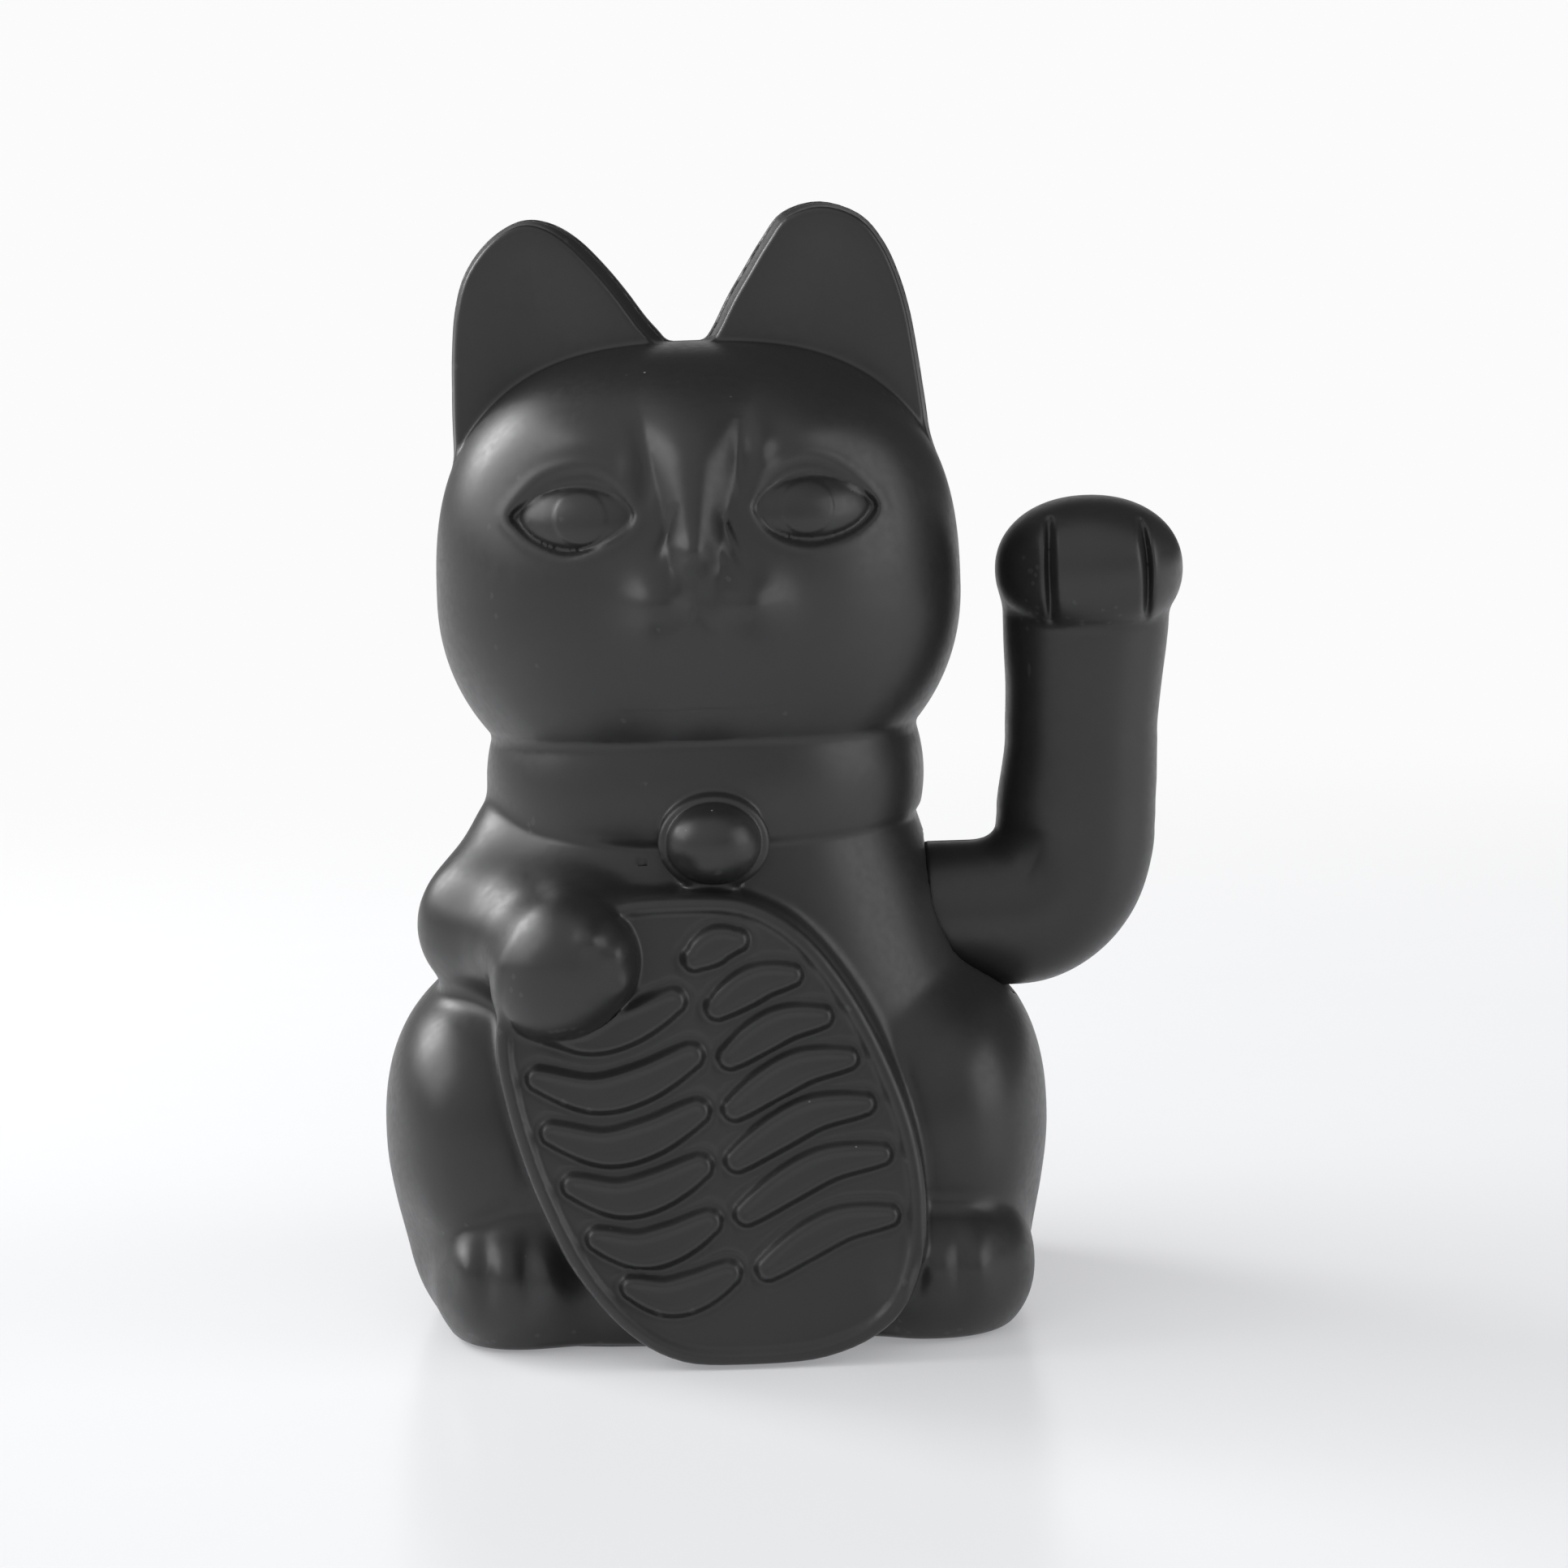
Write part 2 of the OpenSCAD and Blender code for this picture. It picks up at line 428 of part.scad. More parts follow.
module arm_hub() {
  color([0.09, 0.09, 0.095]) translate([0, 0, pivot_z]) difference() {
    union() {
      along_x(29.8) cylinder(r = arm_r - arm_wall - 0.15, h = 2, $fn = 64);
      along_x(29.8) cylinder(r = 4.2, h = 13.5, $fn = 48);
    }
    along_x(29) cylinder(r = shaft_r, h = 13, $fn = 48);
  }
}

front_shell();
rear_shell();
base_plate();
base_screws();
arm_front_shell();
arm_rear_shell();
arm_hub();
pivot_shaft();
bearing_bushes();
retaining_clips();
drive_frame();
frame_screws();
pendulum_lever();
counterweight();
drive_magnet();
circuit_board();
coil_bobbin();
drive_coil();
driver_chip();
capacitor();
battery_cell();
battery_spring();
contact_negative();
contact_positive();
battery_door();
switch_body();
switch_slider();
lead_red();
lead_black();
lead_white();
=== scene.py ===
import concurrent.futures
import math

import bpy
import numpy as np
from mathutils import Matrix, Vector


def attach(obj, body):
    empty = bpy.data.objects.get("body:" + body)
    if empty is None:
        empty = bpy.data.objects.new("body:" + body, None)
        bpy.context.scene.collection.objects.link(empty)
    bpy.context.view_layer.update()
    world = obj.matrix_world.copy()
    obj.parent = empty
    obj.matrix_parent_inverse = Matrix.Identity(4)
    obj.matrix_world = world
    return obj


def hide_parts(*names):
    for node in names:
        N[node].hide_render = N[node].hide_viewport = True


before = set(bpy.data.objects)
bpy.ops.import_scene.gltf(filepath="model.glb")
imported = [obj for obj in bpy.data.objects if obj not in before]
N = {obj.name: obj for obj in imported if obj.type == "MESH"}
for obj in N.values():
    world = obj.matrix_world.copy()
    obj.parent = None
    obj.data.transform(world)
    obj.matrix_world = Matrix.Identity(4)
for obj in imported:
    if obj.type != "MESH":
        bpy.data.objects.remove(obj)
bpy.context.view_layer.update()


# ---------------------------------------------------------------- field helpers (millimetres)
def smin(a, b, k):
    h = np.clip(0.5 + 0.5 * (b - a) / k, 0, 1)
    return b + (a - b) * h - k * h * (1 - h)


def smax(a, b, k):
    return -smin(-a, -b, k)


def step(a, b, x):
    t = np.clip((x - a) / (b - a), 0, 1)
    return t * t * (3 - 2 * t)


def catmull(p, n, closed=False):
    p = np.asarray(p, float)
    m = len(p)
    out = []
    for i in range(m if closed else m - 1):
        if closed:
            a, b, c, d = p[(i - 1) % m], p[i], p[(i + 1) % m], p[(i + 2) % m]
        else:
            a, b, c, d = p[max(i - 1, 0)], p[i], p[i + 1], p[min(i + 2, m - 1)]
        for k in range(n):
            t = k / n
            out.append(0.5 * (2 * b + (c - a) * t + (2 * a - 5 * b + 4 * c - d) * t * t + (3 * b - a - 3 * c + d) * t ** 3))
    if not closed:
        out.append(p[-1])
    return np.array(out)


class Lut:
    """smooth curve of several values against one coordinate"""

    def __init__(self, rows):
        c = catmull(rows, 12)
        self.t, self.v = c[:, 0], c[:, 1:]

    def __call__(self, z):
        return [np.interp(z, self.t, self.v[:, i]) for i in range(self.v.shape[1])]


def ellipsoid(x, y, z, c, r, n=2.0):
    u, v, w = (x - c[0]) / r[0], (y - c[1]) / r[1], (z - c[2]) / r[2]
    if n == 2.0:
        k = np.sqrt(u * u + v * v + w * w)
    else:
        k = (np.abs(u) ** n + np.abs(v) ** n + np.abs(w) ** n) ** (1 / n)
    g = np.sqrt((u / r[0]) ** 2 + (v / r[1]) ** 2 + (w / r[2]) ** 2) + 1e-9
    k2 = np.sqrt(u * u + v * v + w * w)
    return (k - 1) * np.maximum(k2, 0.3) / g


def cone(x, y, z, a, b, ra, rb):
    """round cone from a to b, sphere radii ra and rb"""
    a, b = np.asarray(a, float), np.asarray(b, float)
    d = b - a
    L = d @ d
    t = np.clip(((x - a[0]) * d[0] + (y - a[1]) * d[1] + (z - a[2]) * d[2]) / L, 0, 1)
    return np.sqrt((x - a[0] - t * d[0]) ** 2 + (y - a[1] - t * d[1]) ** 2 + (z - a[2] - t * d[2]) ** 2) - (ra + (rb - ra) * t)


def seg2(x, z, a, b):
    dx, dz = b[0] - a[0], b[1] - a[1]
    t = np.clip(((x - a[0]) * dx + (z - a[1]) * dz) / (dx * dx + dz * dz + 1e-12), 0, 1)
    return (x - a[0] - t * dx) ** 2 + (z - a[1] - t * dz) ** 2, t


def line2(x, z, pts):
    """distance to a polyline in x, z, and how far along it, 0 to 1"""
    best = np.full(x.shape, 1e9)
    along = np.zeros(x.shape)
    n = len(pts) - 1
    for i in range(n):
        d, t = seg2(x, z, pts[i], pts[i + 1])
        m = d < best
        best = np.where(m, d, best)
        along = np.where(m, (i + t) / n, along)
    return np.sqrt(best), along


def poly2(x, z, pts):
    """signed distance to a closed outline in x, z, negative inside"""
    best = np.full(x.shape, 1e9)
    inside = np.zeros(x.shape, bool)
    n = len(pts)
    for i in range(n):
        a, b = pts[i], pts[(i + 1) % n]
        d, _ = seg2(x, z, a, b)
        best = np.minimum(best, d)
        c = (a[1] > z) != (b[1] > z)
        with np.errstate(divide="ignore", invalid="ignore"):
            xi = (b[0] - a[0]) * (z - a[1]) / (b[1] - a[1]) + a[0]
        inside ^= c & (x < xi)
    return np.where(inside, -1, 1) * np.sqrt(best)


class Sheet:
    """a function of x, z worked out once on a fine sheet and then looked up"""

    def __init__(self, fun, x0, x1, z0, z1, h=0.1):
        self.x0, self.z0, self.h = x0, z0, h
        nx, nz = int((x1 - x0) / h) + 2, int((z1 - z0) / h) + 2
        X, Z = np.meshgrid(x0 + h * np.arange(nx), z0 + h * np.arange(nz), indexing="ij")
        self.v = fun(X, Z)
        self.nx, self.nz = nx, nz

    def __call__(self, x, z):
        u = np.clip((x - self.x0) / self.h, 0, self.nx - 1.001)
        w = np.clip((z - self.z0) / self.h, 0, self.nz - 1.001)
        i, j = u.astype(int), w.astype(int)
        u, w = u - i, w - j
        v = self.v
        return (v[i, j] * (1 - u) * (1 - w) + v[i + 1, j] * u * (1 - w) + v[i, j + 1] * (1 - u) * w + v[i + 1, j + 1] * u * w)


# ---------------------------------------------------------------- the body
TORSO = Lut([
    [-3, 36.2, 27, 36.6, 2.8], [0.2, 37.6, 28.9, 37.9, 2.8], [1.2, 38.9, 29.8, 38.7, 2.75], [3, 40.3, 30.5, 39.4, 2.7], [6, 41.8, 30.9, 39.8, 2.62],
    [10, 42.9, 31, 40, 2.56], [15, 43.5, 30.95, 40.05, 2.53], [20, 43.5, 30.75, 39.95, 2.5], [25, 43.6, 30.45, 39.7, 2.47], [30, 43.2, 30.05, 39.3, 2.44],
    [35, 42, 29.6, 38.6, 2.41], [39, 40.2, 29.2, 37.85, 2.385], [43, 38, 28.7, 36.95, 2.36], [48, 35.2, 27.95, 35.65, 2.33], [54, 32.8, 27, 33.95, 2.295],
    [60, 30.9, 26, 32.2, 2.26], [65, 29.2, 25.15, 30.8, 2.23], [69, 28.1, 24.55, 29.9, 2.21], [74, 27.4, 24, 29.2, 2.2], [80, 26.8, 23.6, 28.8, 2.2],
    [90, 26, 23, 28.4, 2.2]])


def torso(x, y, z):
    w, f, b, n = TORSO(z)
    w2 = TORSO(z + 0.5)[0] - TORSO(z - 0.5)[0]
    d = np.where(y < 0, f, b)
    rho = ((np.abs(x) / w) ** n + (np.abs(y) / d) ** n) ** (1 / n) + 1e-6
    R = np.sqrt(x * x + y * y)
    small = np.minimum(w, d)
    return (rho - 1) * small * 0.97 * np.where(rho < 1, 1, R / np.maximum(rho, 1) / small) / np.sqrt(1 + w2 * w2)


def head(x, y, z):
    by = np.where(y < 0, 30.6, 34.0)
    n = 2.25
    rxy = ((np.abs(x) / 35.5) ** n + (np.abs(y) / by) ** n) ** (1 / n)
    up = z > 98
    cz, m = np.where(up, 33.8, 30.1), np.where(up, 2.6, 2.1)
    k = (rxy ** m + (np.abs(z - 98) / cz) ** m) ** (1 / m) + 1e-6
    R = np.sqrt(x * x + y * y + (z - 98) ** 2)
    return R * (1 - 1 / k) * 0.98


EAR_L = catmull([[-28, 107], [-31.2, 110.5], [-32.4, 115], [-32.6, 121], [-32.5, 126], [-32.3, 131], [-31.7, 136.6], [-30.3, 141.4], [-27.6, 145.3], [-24.4, 147.8], [-21.2, 148.8],
                 [-17.7, 148.0], [-14.4, 145.8], [-11.2, 142.4], [-8.4, 138.8], [-5.9, 135.2], [-3.2, 131.8], [0, 126], [0, 116], [-12, 107]], 4, True)
EAR_R = catmull([[28, 107], [31.6, 110.5], [32.2, 115], [31.7, 121], [31.1, 126], [30.5, 130.5], [29.8, 134.8], [28.6, 139.4], [26.6, 144.2], [23.4, 148.1], [18, 150.0],
                 [12.9, 148.7], [10.0, 145.2], [7.5, 141.3], [5.2, 137.6], [3.3, 134], [1.6, 131], [0, 126], [0, 116], [12, 107]], 4, True)
ear_l = Sheet(lambda x, z: poly2(x, z, EAR_L), -40, 6, 98, 156, 0.25)
ear_r = Sheet(lambda x, z: poly2(x, z, EAR_R), -6, 40, 98, 156, 0.25)


def ears(x, y, z):
    out = None
    for d, rim in ((ear_l(x, z), 0.6 + 0.9 * step(-24, -13, x)), (ear_r(x, z), 0.6 + 0.45 * step(22, 12, x))):
        d2 = d + rim * step(1.5, -3.6, y)
        front = -3.6 + 0.9 * step(2.5, 12, -d)
        back = 7.8 - 0.11 * (z - 118)
        f = smax(d2, y - back, 4.2)
        f = smax(f, front - y, 0.8)
        out = f if out is None else np.minimum(out, f)
    return out


COIN = catmull([[-3, 61], [5, 60.3], [12, 56.4], [18, 49], [22.8, 39.8], [26.2, 30], [27.4, 20], [26, 11], [21.6, 4.6], [14, 1.2],
                [4, 0.3], [-5, 1.1], [-12, 5], [-18.4, 12.6], [-23.4, 23], [-26.8, 34], [-28, 43.4], [-25.6, 51.6], [-19.8, 57.4], [-12, 60.4]], 5, True)
coin_d = Sheet(lambda x, z: poly2(x, z, COIN), -40, 40, -6, 70, 0.25)


def coin_face(z):
    return -42.0 + 0.155 * z


def coin(x, y, z):
    d = coin_d(x, z)
    front = coin_face(z) + 0.85 * step(1.3, 2.7, -d)
    f = smax(d, front - y, 1.7)
    return np.maximum(f, y + 16)


# raised pads on both sides of a plain middle line, like the ribs of a leaf
def leaf_axis(t):
    return np.array([-6.5 + 14 * t + 2.2 * np.sin(2 * np.pi * t), 56.5 - 51 * t])


def reach(p, d):
    """how far a rib can run from p along d before it comes near the rim"""
    k = np.arange(2, 40, 0.5)
    q = coin_d(p[0] + d[0] * k, p[1] + d[1] * k)
    return max(k[np.argmax(q > -5.2)] if (q > -5.2).any() else 0, 0)


def ribs():
    out = []
    for side, starts, rise in ((-1, (0.17, 0.31, 0.45, 0.59, 0.73, 0.86), -0.10), (1, (0.09, 0.215, 0.34, 0.47, 0.60, 0.735, 0.875), 0.42)):
        for i, t in enumerate(starts):
            p = leaf_axis(t)
            d = np.array([side * 1.0, rise])
            d = d / np.hypot(*d)
            n = np.array([-d[1], d[0]]) * side
            p0 = p + d * 2.6
            L = reach(p0, d)
            if L < 3:
                continue
            sag = (-0.16 if side < 0 else 0.07) * L
            q = [p0, p0 + d * 0.33 * L + n * sag * 0.8, p0 + d * 0.66 * L + n * sag, p0 + d * L + n * sag * (0.1 if side < 0 else -0.3)]
            out.append((catmull(q, 7), 2.15 if side < 0 else 2.0))
    return out


RIBS = ribs()


def relief(x, z):
    h = np.zeros(x.shape)
    for q, wide in RIBS:
        lo, hi = q.min(0) - 4, q.max(0) + 4
        m = (x > lo[0]) & (x < hi[0]) & (z > lo[1]) & (z < hi[1])
        if not m.any():
            continue
        d, t = line2(x[m], z[m], q)
        w = wide * (0.62 + 0.5 * np.sin(np.pi * np.clip(t * 0.9 + 0.08, 0, 1)))
        v = 0.8 * step(w + 0.55, w - 0.45, d)
        v += 0.18 * np.exp(-((d - w + 0.7) / 0.45) ** 2)
        v -= 0.3 * np.exp(-((d - w - 0.85) / 0.5) ** 2)
        h[m] = np.where(np.abs(v) > np.abs(h[m]), v, h[m])
    return h


relief_s = Sheet(relief, -30, 30, -2, 64, 0.1)


# ---------------------------------------------------------------- face details, read on the front of the head
EYE_L = catmull([[-24.2, 110.5], [-22.3, 113.0], [-19.3, 115.4], [-15.0, 116.5], [-11.4, 116.0], [-9.0, 114.0], [-7.6, 111.2], [-8.5, 108.9],
                 [-12.8, 106.4], [-16.7, 105.4], [-20.6, 106.8], [-23.1, 108.8]], 4, True)
EYE_R = catmull([[7.8, 111.4], [9.0, 114.1], [11.2, 116.2], [15.0, 117.1], [18.8, 116.0], [22.3, 113.2], [24.2, 110.2], [22.1, 107.7], [18.8, 106.2],
                 [14.9, 105.7], [10.9, 107.0], [8.6, 109.2]], 4, True)


def bump(x, z, cx, cz, rx, rz, p=2.0):
    return np.exp(-(((x - cx) / rx) ** 2 + ((z - cz) / rz) ** 2) ** (p / 2))


def ridge(x, z, pts, w, taper=True):
    q = catmull(pts, 6)
    lo, hi = q.min(0) - 3.5 * w, q.max(0) + 3.5 * w
    h = np.zeros(x.shape)
    m = (x > lo[0]) & (x < hi[0]) & (z > lo[1]) & (z < hi[1])
    if m.any():
        d, t = line2(x[m], z[m], q)
        h[m] = np.exp(-(d / w) ** 2) * (np.sin(np.pi * np.clip(t * 0.8 + 0.1, 0, 1)) if taper else 1)
    return h


def face(x, z):
    h = np.zeros(x.shape)
    # eye sockets
    h -= 0.9 * bump(x, z, -15.6, 111.4, 10.5, 7.0, 3)
    h -= 0.9 * bump(x, z, 15.8, 111.6, 10.5, 7.0, 3)
    # the bridge: broad on the forehead, narrow at the nose
    t = np.clip((124.5 - z) / 18.5, 0, 1)
    xc = 0.6 - 0.5 * t
    w = 7.6 - 4.1 * t ** 0.8
    side = np.clip(1 - ((x - xc) / w) ** 2, 0, 1) ** 1.5
    h += (2.3 + 1.0 * t) * side * step(130, 117, z) * step(99.0, 107.0, z)
    # creases beside it and the folds at the inner corners of the eyes
    h -= 0.5 * ridge(x, z, [[-7.0, 122.0], [-6.5, 119.4], [-5.9, 116.6], [-5.9, 113.8], [-7.0, 111.2]], 1.2)
    h -= 0.5 * ridge(x, z, [[6.6, 122.4], [6.2, 120], [6.1, 117.4], [6.3, 114.4], [7.3, 111.4]], 1.2)
    h += 0.75 * bump(x, z, 9.0, 118.4, 1.7, 3.2) + 0.35 * bump(x, z, -8.2, 116.6, 1.2, 2.4)
    h += 0.5 * bump(x, z, -13.5, 120.5, 5.0, 2.8) + 0.4 * bump(x, z, 14.5, 121.0, 5.0, 2.8)
    # nose, its wings, the grooves over them
    h += 0.7 * bump(x, z, 0.1, 105.6, 2.5, 2.3)
    h += 0.5 * bump(x, z, -2.8, 106.0, 1.2, 1.9) + 0.45 * ridge(x, z, [[2.7, 108.2], [3.9, 105.4], [5.7, 102.8]], 0.8)
    h -= 0.5 * ridge(x, z, [[-2.2, 111.4], [-3.2, 108.6], [-4.8, 105.4]], 0.6)
    h -= 0.75 * ridge(x, z, [[3.5, 110.8], [4.3, 108.4], [5.7, 105.2]], 0.75)
    # muzzle, with the hollow between its two halves, and the mouth
    h += 0.7 * bump(x, z, 0.6, 98, 10.5, 7.5)
    h += 2.9 * bump(x, z, -5.0, 99.2, 4.1, 4.1) + 2.8 * bump(x, z, 7.2, 98.8, 4.2, 4.1)
    h -= 0.5 * bump(x, z, 1.1, 98.8, 1.9, 4.6)
    h -= 0.14 * ridge(x, z, [[0.2, 101.4], [0.2, 99.4], [0.2, 97.6]], 0.8)
    h -= 0.22 * ridge(x, z, [[-3.0, 95.4], [-1.2, 96.2], [0.2, 97.6], [1.6, 96.2], [3.6, 95.4]], 0.8)
    # eyes: an opening cut under the upper lid, with a domed lens set low in it and a faint disc on the lens
    for outline, cx, cz in ((EYE_L, -15.3, 110.3), (EYE_R, 15.5, 110.8)):
        m = (np.abs(x - cx) < 13) & (np.abs(z - cz) < 10)
        if m.any():
            xx, zz = x[m], z[m]
            d = poly2(xx, zz, outline)
            v = -1.05 * step(0.3, -0.75 - 1.3 * step(cz, cz + 3, zz), d) + 0.12 * np.exp(-((d - 0.9) / 0.7) ** 2)
            u = np.clip(1 - ((xx - cx) / 7.45) ** 2 - ((zz - cz + 0.1) / 3.95) ** 2, 0, 1)
            v = v + 2.7 * (np.sqrt(u + 0.2) - 0.4472)
            r = np.sqrt((xx - cx - 0.6 * np.sign(-cx)) ** 2 + (zz - cz) ** 2)
            v = v + 0.22 * step(3.7, 3.2, r) * step(0, 0.25, u)
            h[m] += v
    return h


face_s = Sheet(face, -36, 36, 84, 132, 0.1)


# ---------------------------------------------------------------- whole body
def masses(x, y, z):
    """smooth big forms, used for the outside and, moved in by the wall, for the inside"""
    f = smax(torso(x, y, z), z - 88, 3)
    # thighs and feet
    t = np.minimum(ellipsoid(x, y, z, (-29.6, -3.0, 27.0), (15.5, 26.5, 20.6), 2.25), ellipsoid(x, y, z, (29.6, -3.0, 27.0), (15.4, 27.0, 20.6), 2.25))
    f = smin(f, t, 2.6)
    ft = np.minimum(ellipsoid(x, y, z, (-25.8, -17.4, 8.3), (13.0, 15.2, 11.8), 2.1), ellipsoid(x, y, z, (28.4, -18.2, 8.5), (13.8, 16.0, 11.6), 2.2))
    f = smin(f, ft, 2.4)
    # arm that holds the coin: it flows out of the chest above and has a crease below
    a = smin(cone(x, y, z, (-23.6, -4.5, 61.6), (-29.0, -10.5, 54.8), 8.9, 9.6), cone(x, y, z, (-29.0, -10.5, 54.8), (-17.5, -28.5, 53.2), 9.6, 8.8), 3)
    f = smin(f, a, 3.4 + 5.6 * step(52, 62, z))
    return f


TAIL = catmull([(12.5, 37.2, 7.2, 5.3), (6.5, 38.7, 7.0, 5.3), (0, 39.4, 7.8, 5.25), (-6, 39.7, 11.2, 5.1), (-9, 39.5, 16.8, 4.8), (-8.4, 39.1, 22.6, 4.4), (-4.6, 38.9, 27.0, 3.9)], 4)


def outer(p, fine=True):
    x, y, z = p[:, 0], p[:, 1], p[:, 2]
    n = len(x)
    f = masses(x, y, z)
    m = z > 60
    if m.any():
        X, Y, Z = x[m], y[m], z[m]
        # collar band
        w, fr, b, e = TORSO(np.full(Z.shape, 71.0))
        d = np.where(Y < 0, fr, b)
        rho = ((np.abs(X) / w) ** e + (np.abs(Y) / d) ** e) ** (1 / e) + 1e-6
        R = np.sqrt(X * X + Y * Y)
        band = R * (1 - 1 / rho) - 2.0 + 0.024 * (Z - 73) ** 2
        low = 67.8 + 0.05 * Y
        g = smax(band, low - Z, 1.2)
        g = smax(g, Z - 80, 1)
        fm = smin(f[m], g, 0.9)
        hd = head(X, Y, Z)
        hs = smin(hd, ears(X, Y, Z), 0.9)
        k = (Y < -8) & (Z > 85) & (Z < 131)
        if fine and k.any():
            hs[k] -= face_s(X[k], Z[k]) * step(-8, -16, Y[k])
        fm = smin(fm, hs, 0.9)
        # bell
        bell = ellipsoid(X, Y, Z, (1.2, -27.6, 67.3), (6.2, 5.9, 5.3))
        ring = np.sqrt((np.sqrt(((X - 1.2) / 1.17) ** 2 + (Z - 67.2) ** 2) - 5.45) ** 2 + (Y + 26.9) ** 2) - 0.85
        fm = smin(fm, ring, 1.4)
        fm = smin(fm, bell, 0.45)
        f[m] = fm
    m = (y < -12) & (z < 66)
    if m.any():
        X, Y, Z = x[m], y[m], z[m]
        c = coin(X, Y, Z)
        inside = coin_d(X, Z) < -2.4
        if fine and inside.any():
            c[inside] -= relief_s(X[inside], Z[inside]) * step(-2.2, -3.6, coin_d(X[inside], Z[inside]))
        fm = smin(f[m], c, 1.5)
        # paw on the coin, over its rim
        paw = smin(ellipsoid(X, Y, Z, (-16.6, -33.6, 53.2), (7.6, 7.4, 7.6)), ellipsoid(X, Y, Z, (-20.6, -30.4, 49.6), (8.0, 8.8, 7.9)), 5)
        if fine:
            lump = 0.9 * bump(X, Z, -15.0, 57.2, 1.9, 2.0) + 0.9 * bump(X, Z, -11.4, 54.8, 1.9, 2.1) + 0.8 * bump(X, Z, -10.6, 50.4, 1.9, 2.1)
            paw = paw - lump * step(-33, -37, Y)
        fm = smin(fm, paw, 1.0 + 4.0 * step(-12, -20, X) * step(47, 54, Z))
        f[m] = fm
    # toes
    m = (y < -18) & (z < 20)
    if fine and m.any():
        X, Y, Z = x[m], y[m], z[m]
        g = 1.1 * bump(X, Z, -33.4, 12.2, 2.4, 3.4) + 1.1 * bump(X, Z, -28.0, 11.2, 2.3, 4.0) + 1.1 * bump(X, Z, -22.4, 10.6, 2.3, 4.0)
        g = g + 1.1 * bump(X, Z, 34.4, 10.8, 2.5, 4.0) + 1.1 * bump(X, Z, 28.8, 11.2, 2.4, 4.0) + 1.0 * bump(X, Z, 23.4, 11.0, 2.2, 3.8)
        g = g - 0.4 * bump(X, Z, -25.2, 10.5, 1.1, 3.5) - 0.4 * bump(X, Z, -30.7, 11.0, 1.1, 3.5)
        g = g - 0.4 * bump(X, Z, 26.1, 10.0, 1.1, 3.5) - 0.4 * bump(X, Z, 31.6, 10.0, 1.1, 3.5)
        f[m] -= g * step(-20, -26, Y)
    # tail
    m = (y > 28) & (z < 36)
    if m.any():
        X, Y, Z = x[m], y[m], z[m]
        t = None
        for a, b in zip(TAIL, TAIL[1:]):
            g = cone(X, Y, Z, a[:3], b[:3], a[3], b[3])
            t = g if t is None else np.minimum(t, g)
        f[m] = smin(f[m], t, 0.9)
    # flat resting rim, softly rounded
    return smax(f, 0.2 - z, 0.9)


def inner(p, wall=2.2):
    x, y, z = p[:, 0], p[:, 1], p[:, 2]
    f = masses(x, y, z) + wall
    g = head(x, y, z) + wall + 0.6
    f = smin(f, g, 3)
    m = (y < -8) & (z < 64)
    if m.any():
        d = coin_d(x[m], z[m])
        c = smax(d + 3.2, coin_face(z[m]) + 3.4 - y[m], 1.5)
        f[m] = smin(f[m], np.maximum(c, y[m] + 12), 1)
    return smax(f, 3.0 - z, 0.8)


BASE_W, BASE_F, BASE_B = 36.0, 27.5, 36.5


def opening(p):
    x, y, z = p[:, 0], p[:, 1], p[:, 2]
    d = np.where(y < 0, BASE_F + 0.15, BASE_B + 0.15)
    rho = ((np.abs(x) / (BASE_W + 0.15)) ** 3 + (np.abs(y) / d) ** 3) ** (1 / 3) + 1e-6
    R = np.sqrt(x * x + y * y)
    return smax(R * (1 - 1 / rho), z - 2.75, 0.3)


def bosses(p):
    x, y, z = p[:, 0], p[:, 1], p[:, 2]
    f = None
    for (a, b), (c, d) in (((-26, -17), (-30, -26)), ((26, -17), (30, -26)), ((-15, 32.4), (-16, 39.5)), ((15, 32.4), (16, 39.5))):
        r = np.sqrt((x - a) ** 2 + (y - b) ** 2) - 3
        t = np.clip(((x - a) * (c - a) + (y - b) * (d - b)) / ((c - a) ** 2 + (d - b) ** 2), 0, 1)
        web = np.sqrt((x - a - t * (c - a)) ** 2 + (y - b - t * (d - b)) ** 2) - 1.0
        g = np.maximum(np.minimum(r, web), np.maximum(2.75 - z, z - 12.75))
        h = np.sqrt((x - a) ** 2 + (y - b) ** 2) - 1.12
        g = np.maximum(g, -np.maximum(h, z - 11.5))
        f = g if f is None else np.minimum(f, g)
    return f


PIVOT = 52.5
GAP = 0.025  # each half stops this far from the parting plane


def body(p, side, fine=True):
    """one hollow half: side -1 is the front, 1 the rear"""
    x, y, z = p[:, 0], p[:, 1], p[:, 2]
    o = outer(p, fine)
    i = inner(p)
    # wall round the shoulder recess
    r = np.sqrt(y * y + (z - PIVOT) ** 2)
    i = np.maximum(i, -np.maximum(r - 13.4, 26.3 - x))
    i = np.minimum(i, opening(p))
    f = smax(o, -i, 0.3)
    m = z < 14
    if m.any():
        f[m] = np.minimum(f[m], np.maximum(bosses(p[m]), o[m] + 1))
    m = x > 18
    if m.any():
        rec = np.maximum(r[m] - 11.2, 28.5 - x[m])
        hole = np.maximum(r[m] - 3.5, 18 - x[m])
        f[m] = smax(f[m], -np.minimum(rec, hole), 0.7)
    return smax(f, GAP - side * y, 0.05)


# ---------------------------------------------------------------- the arm
BEND = 10.6
BX = 41.0
FX = BX + BEND
BZ = PIVOT + BEND


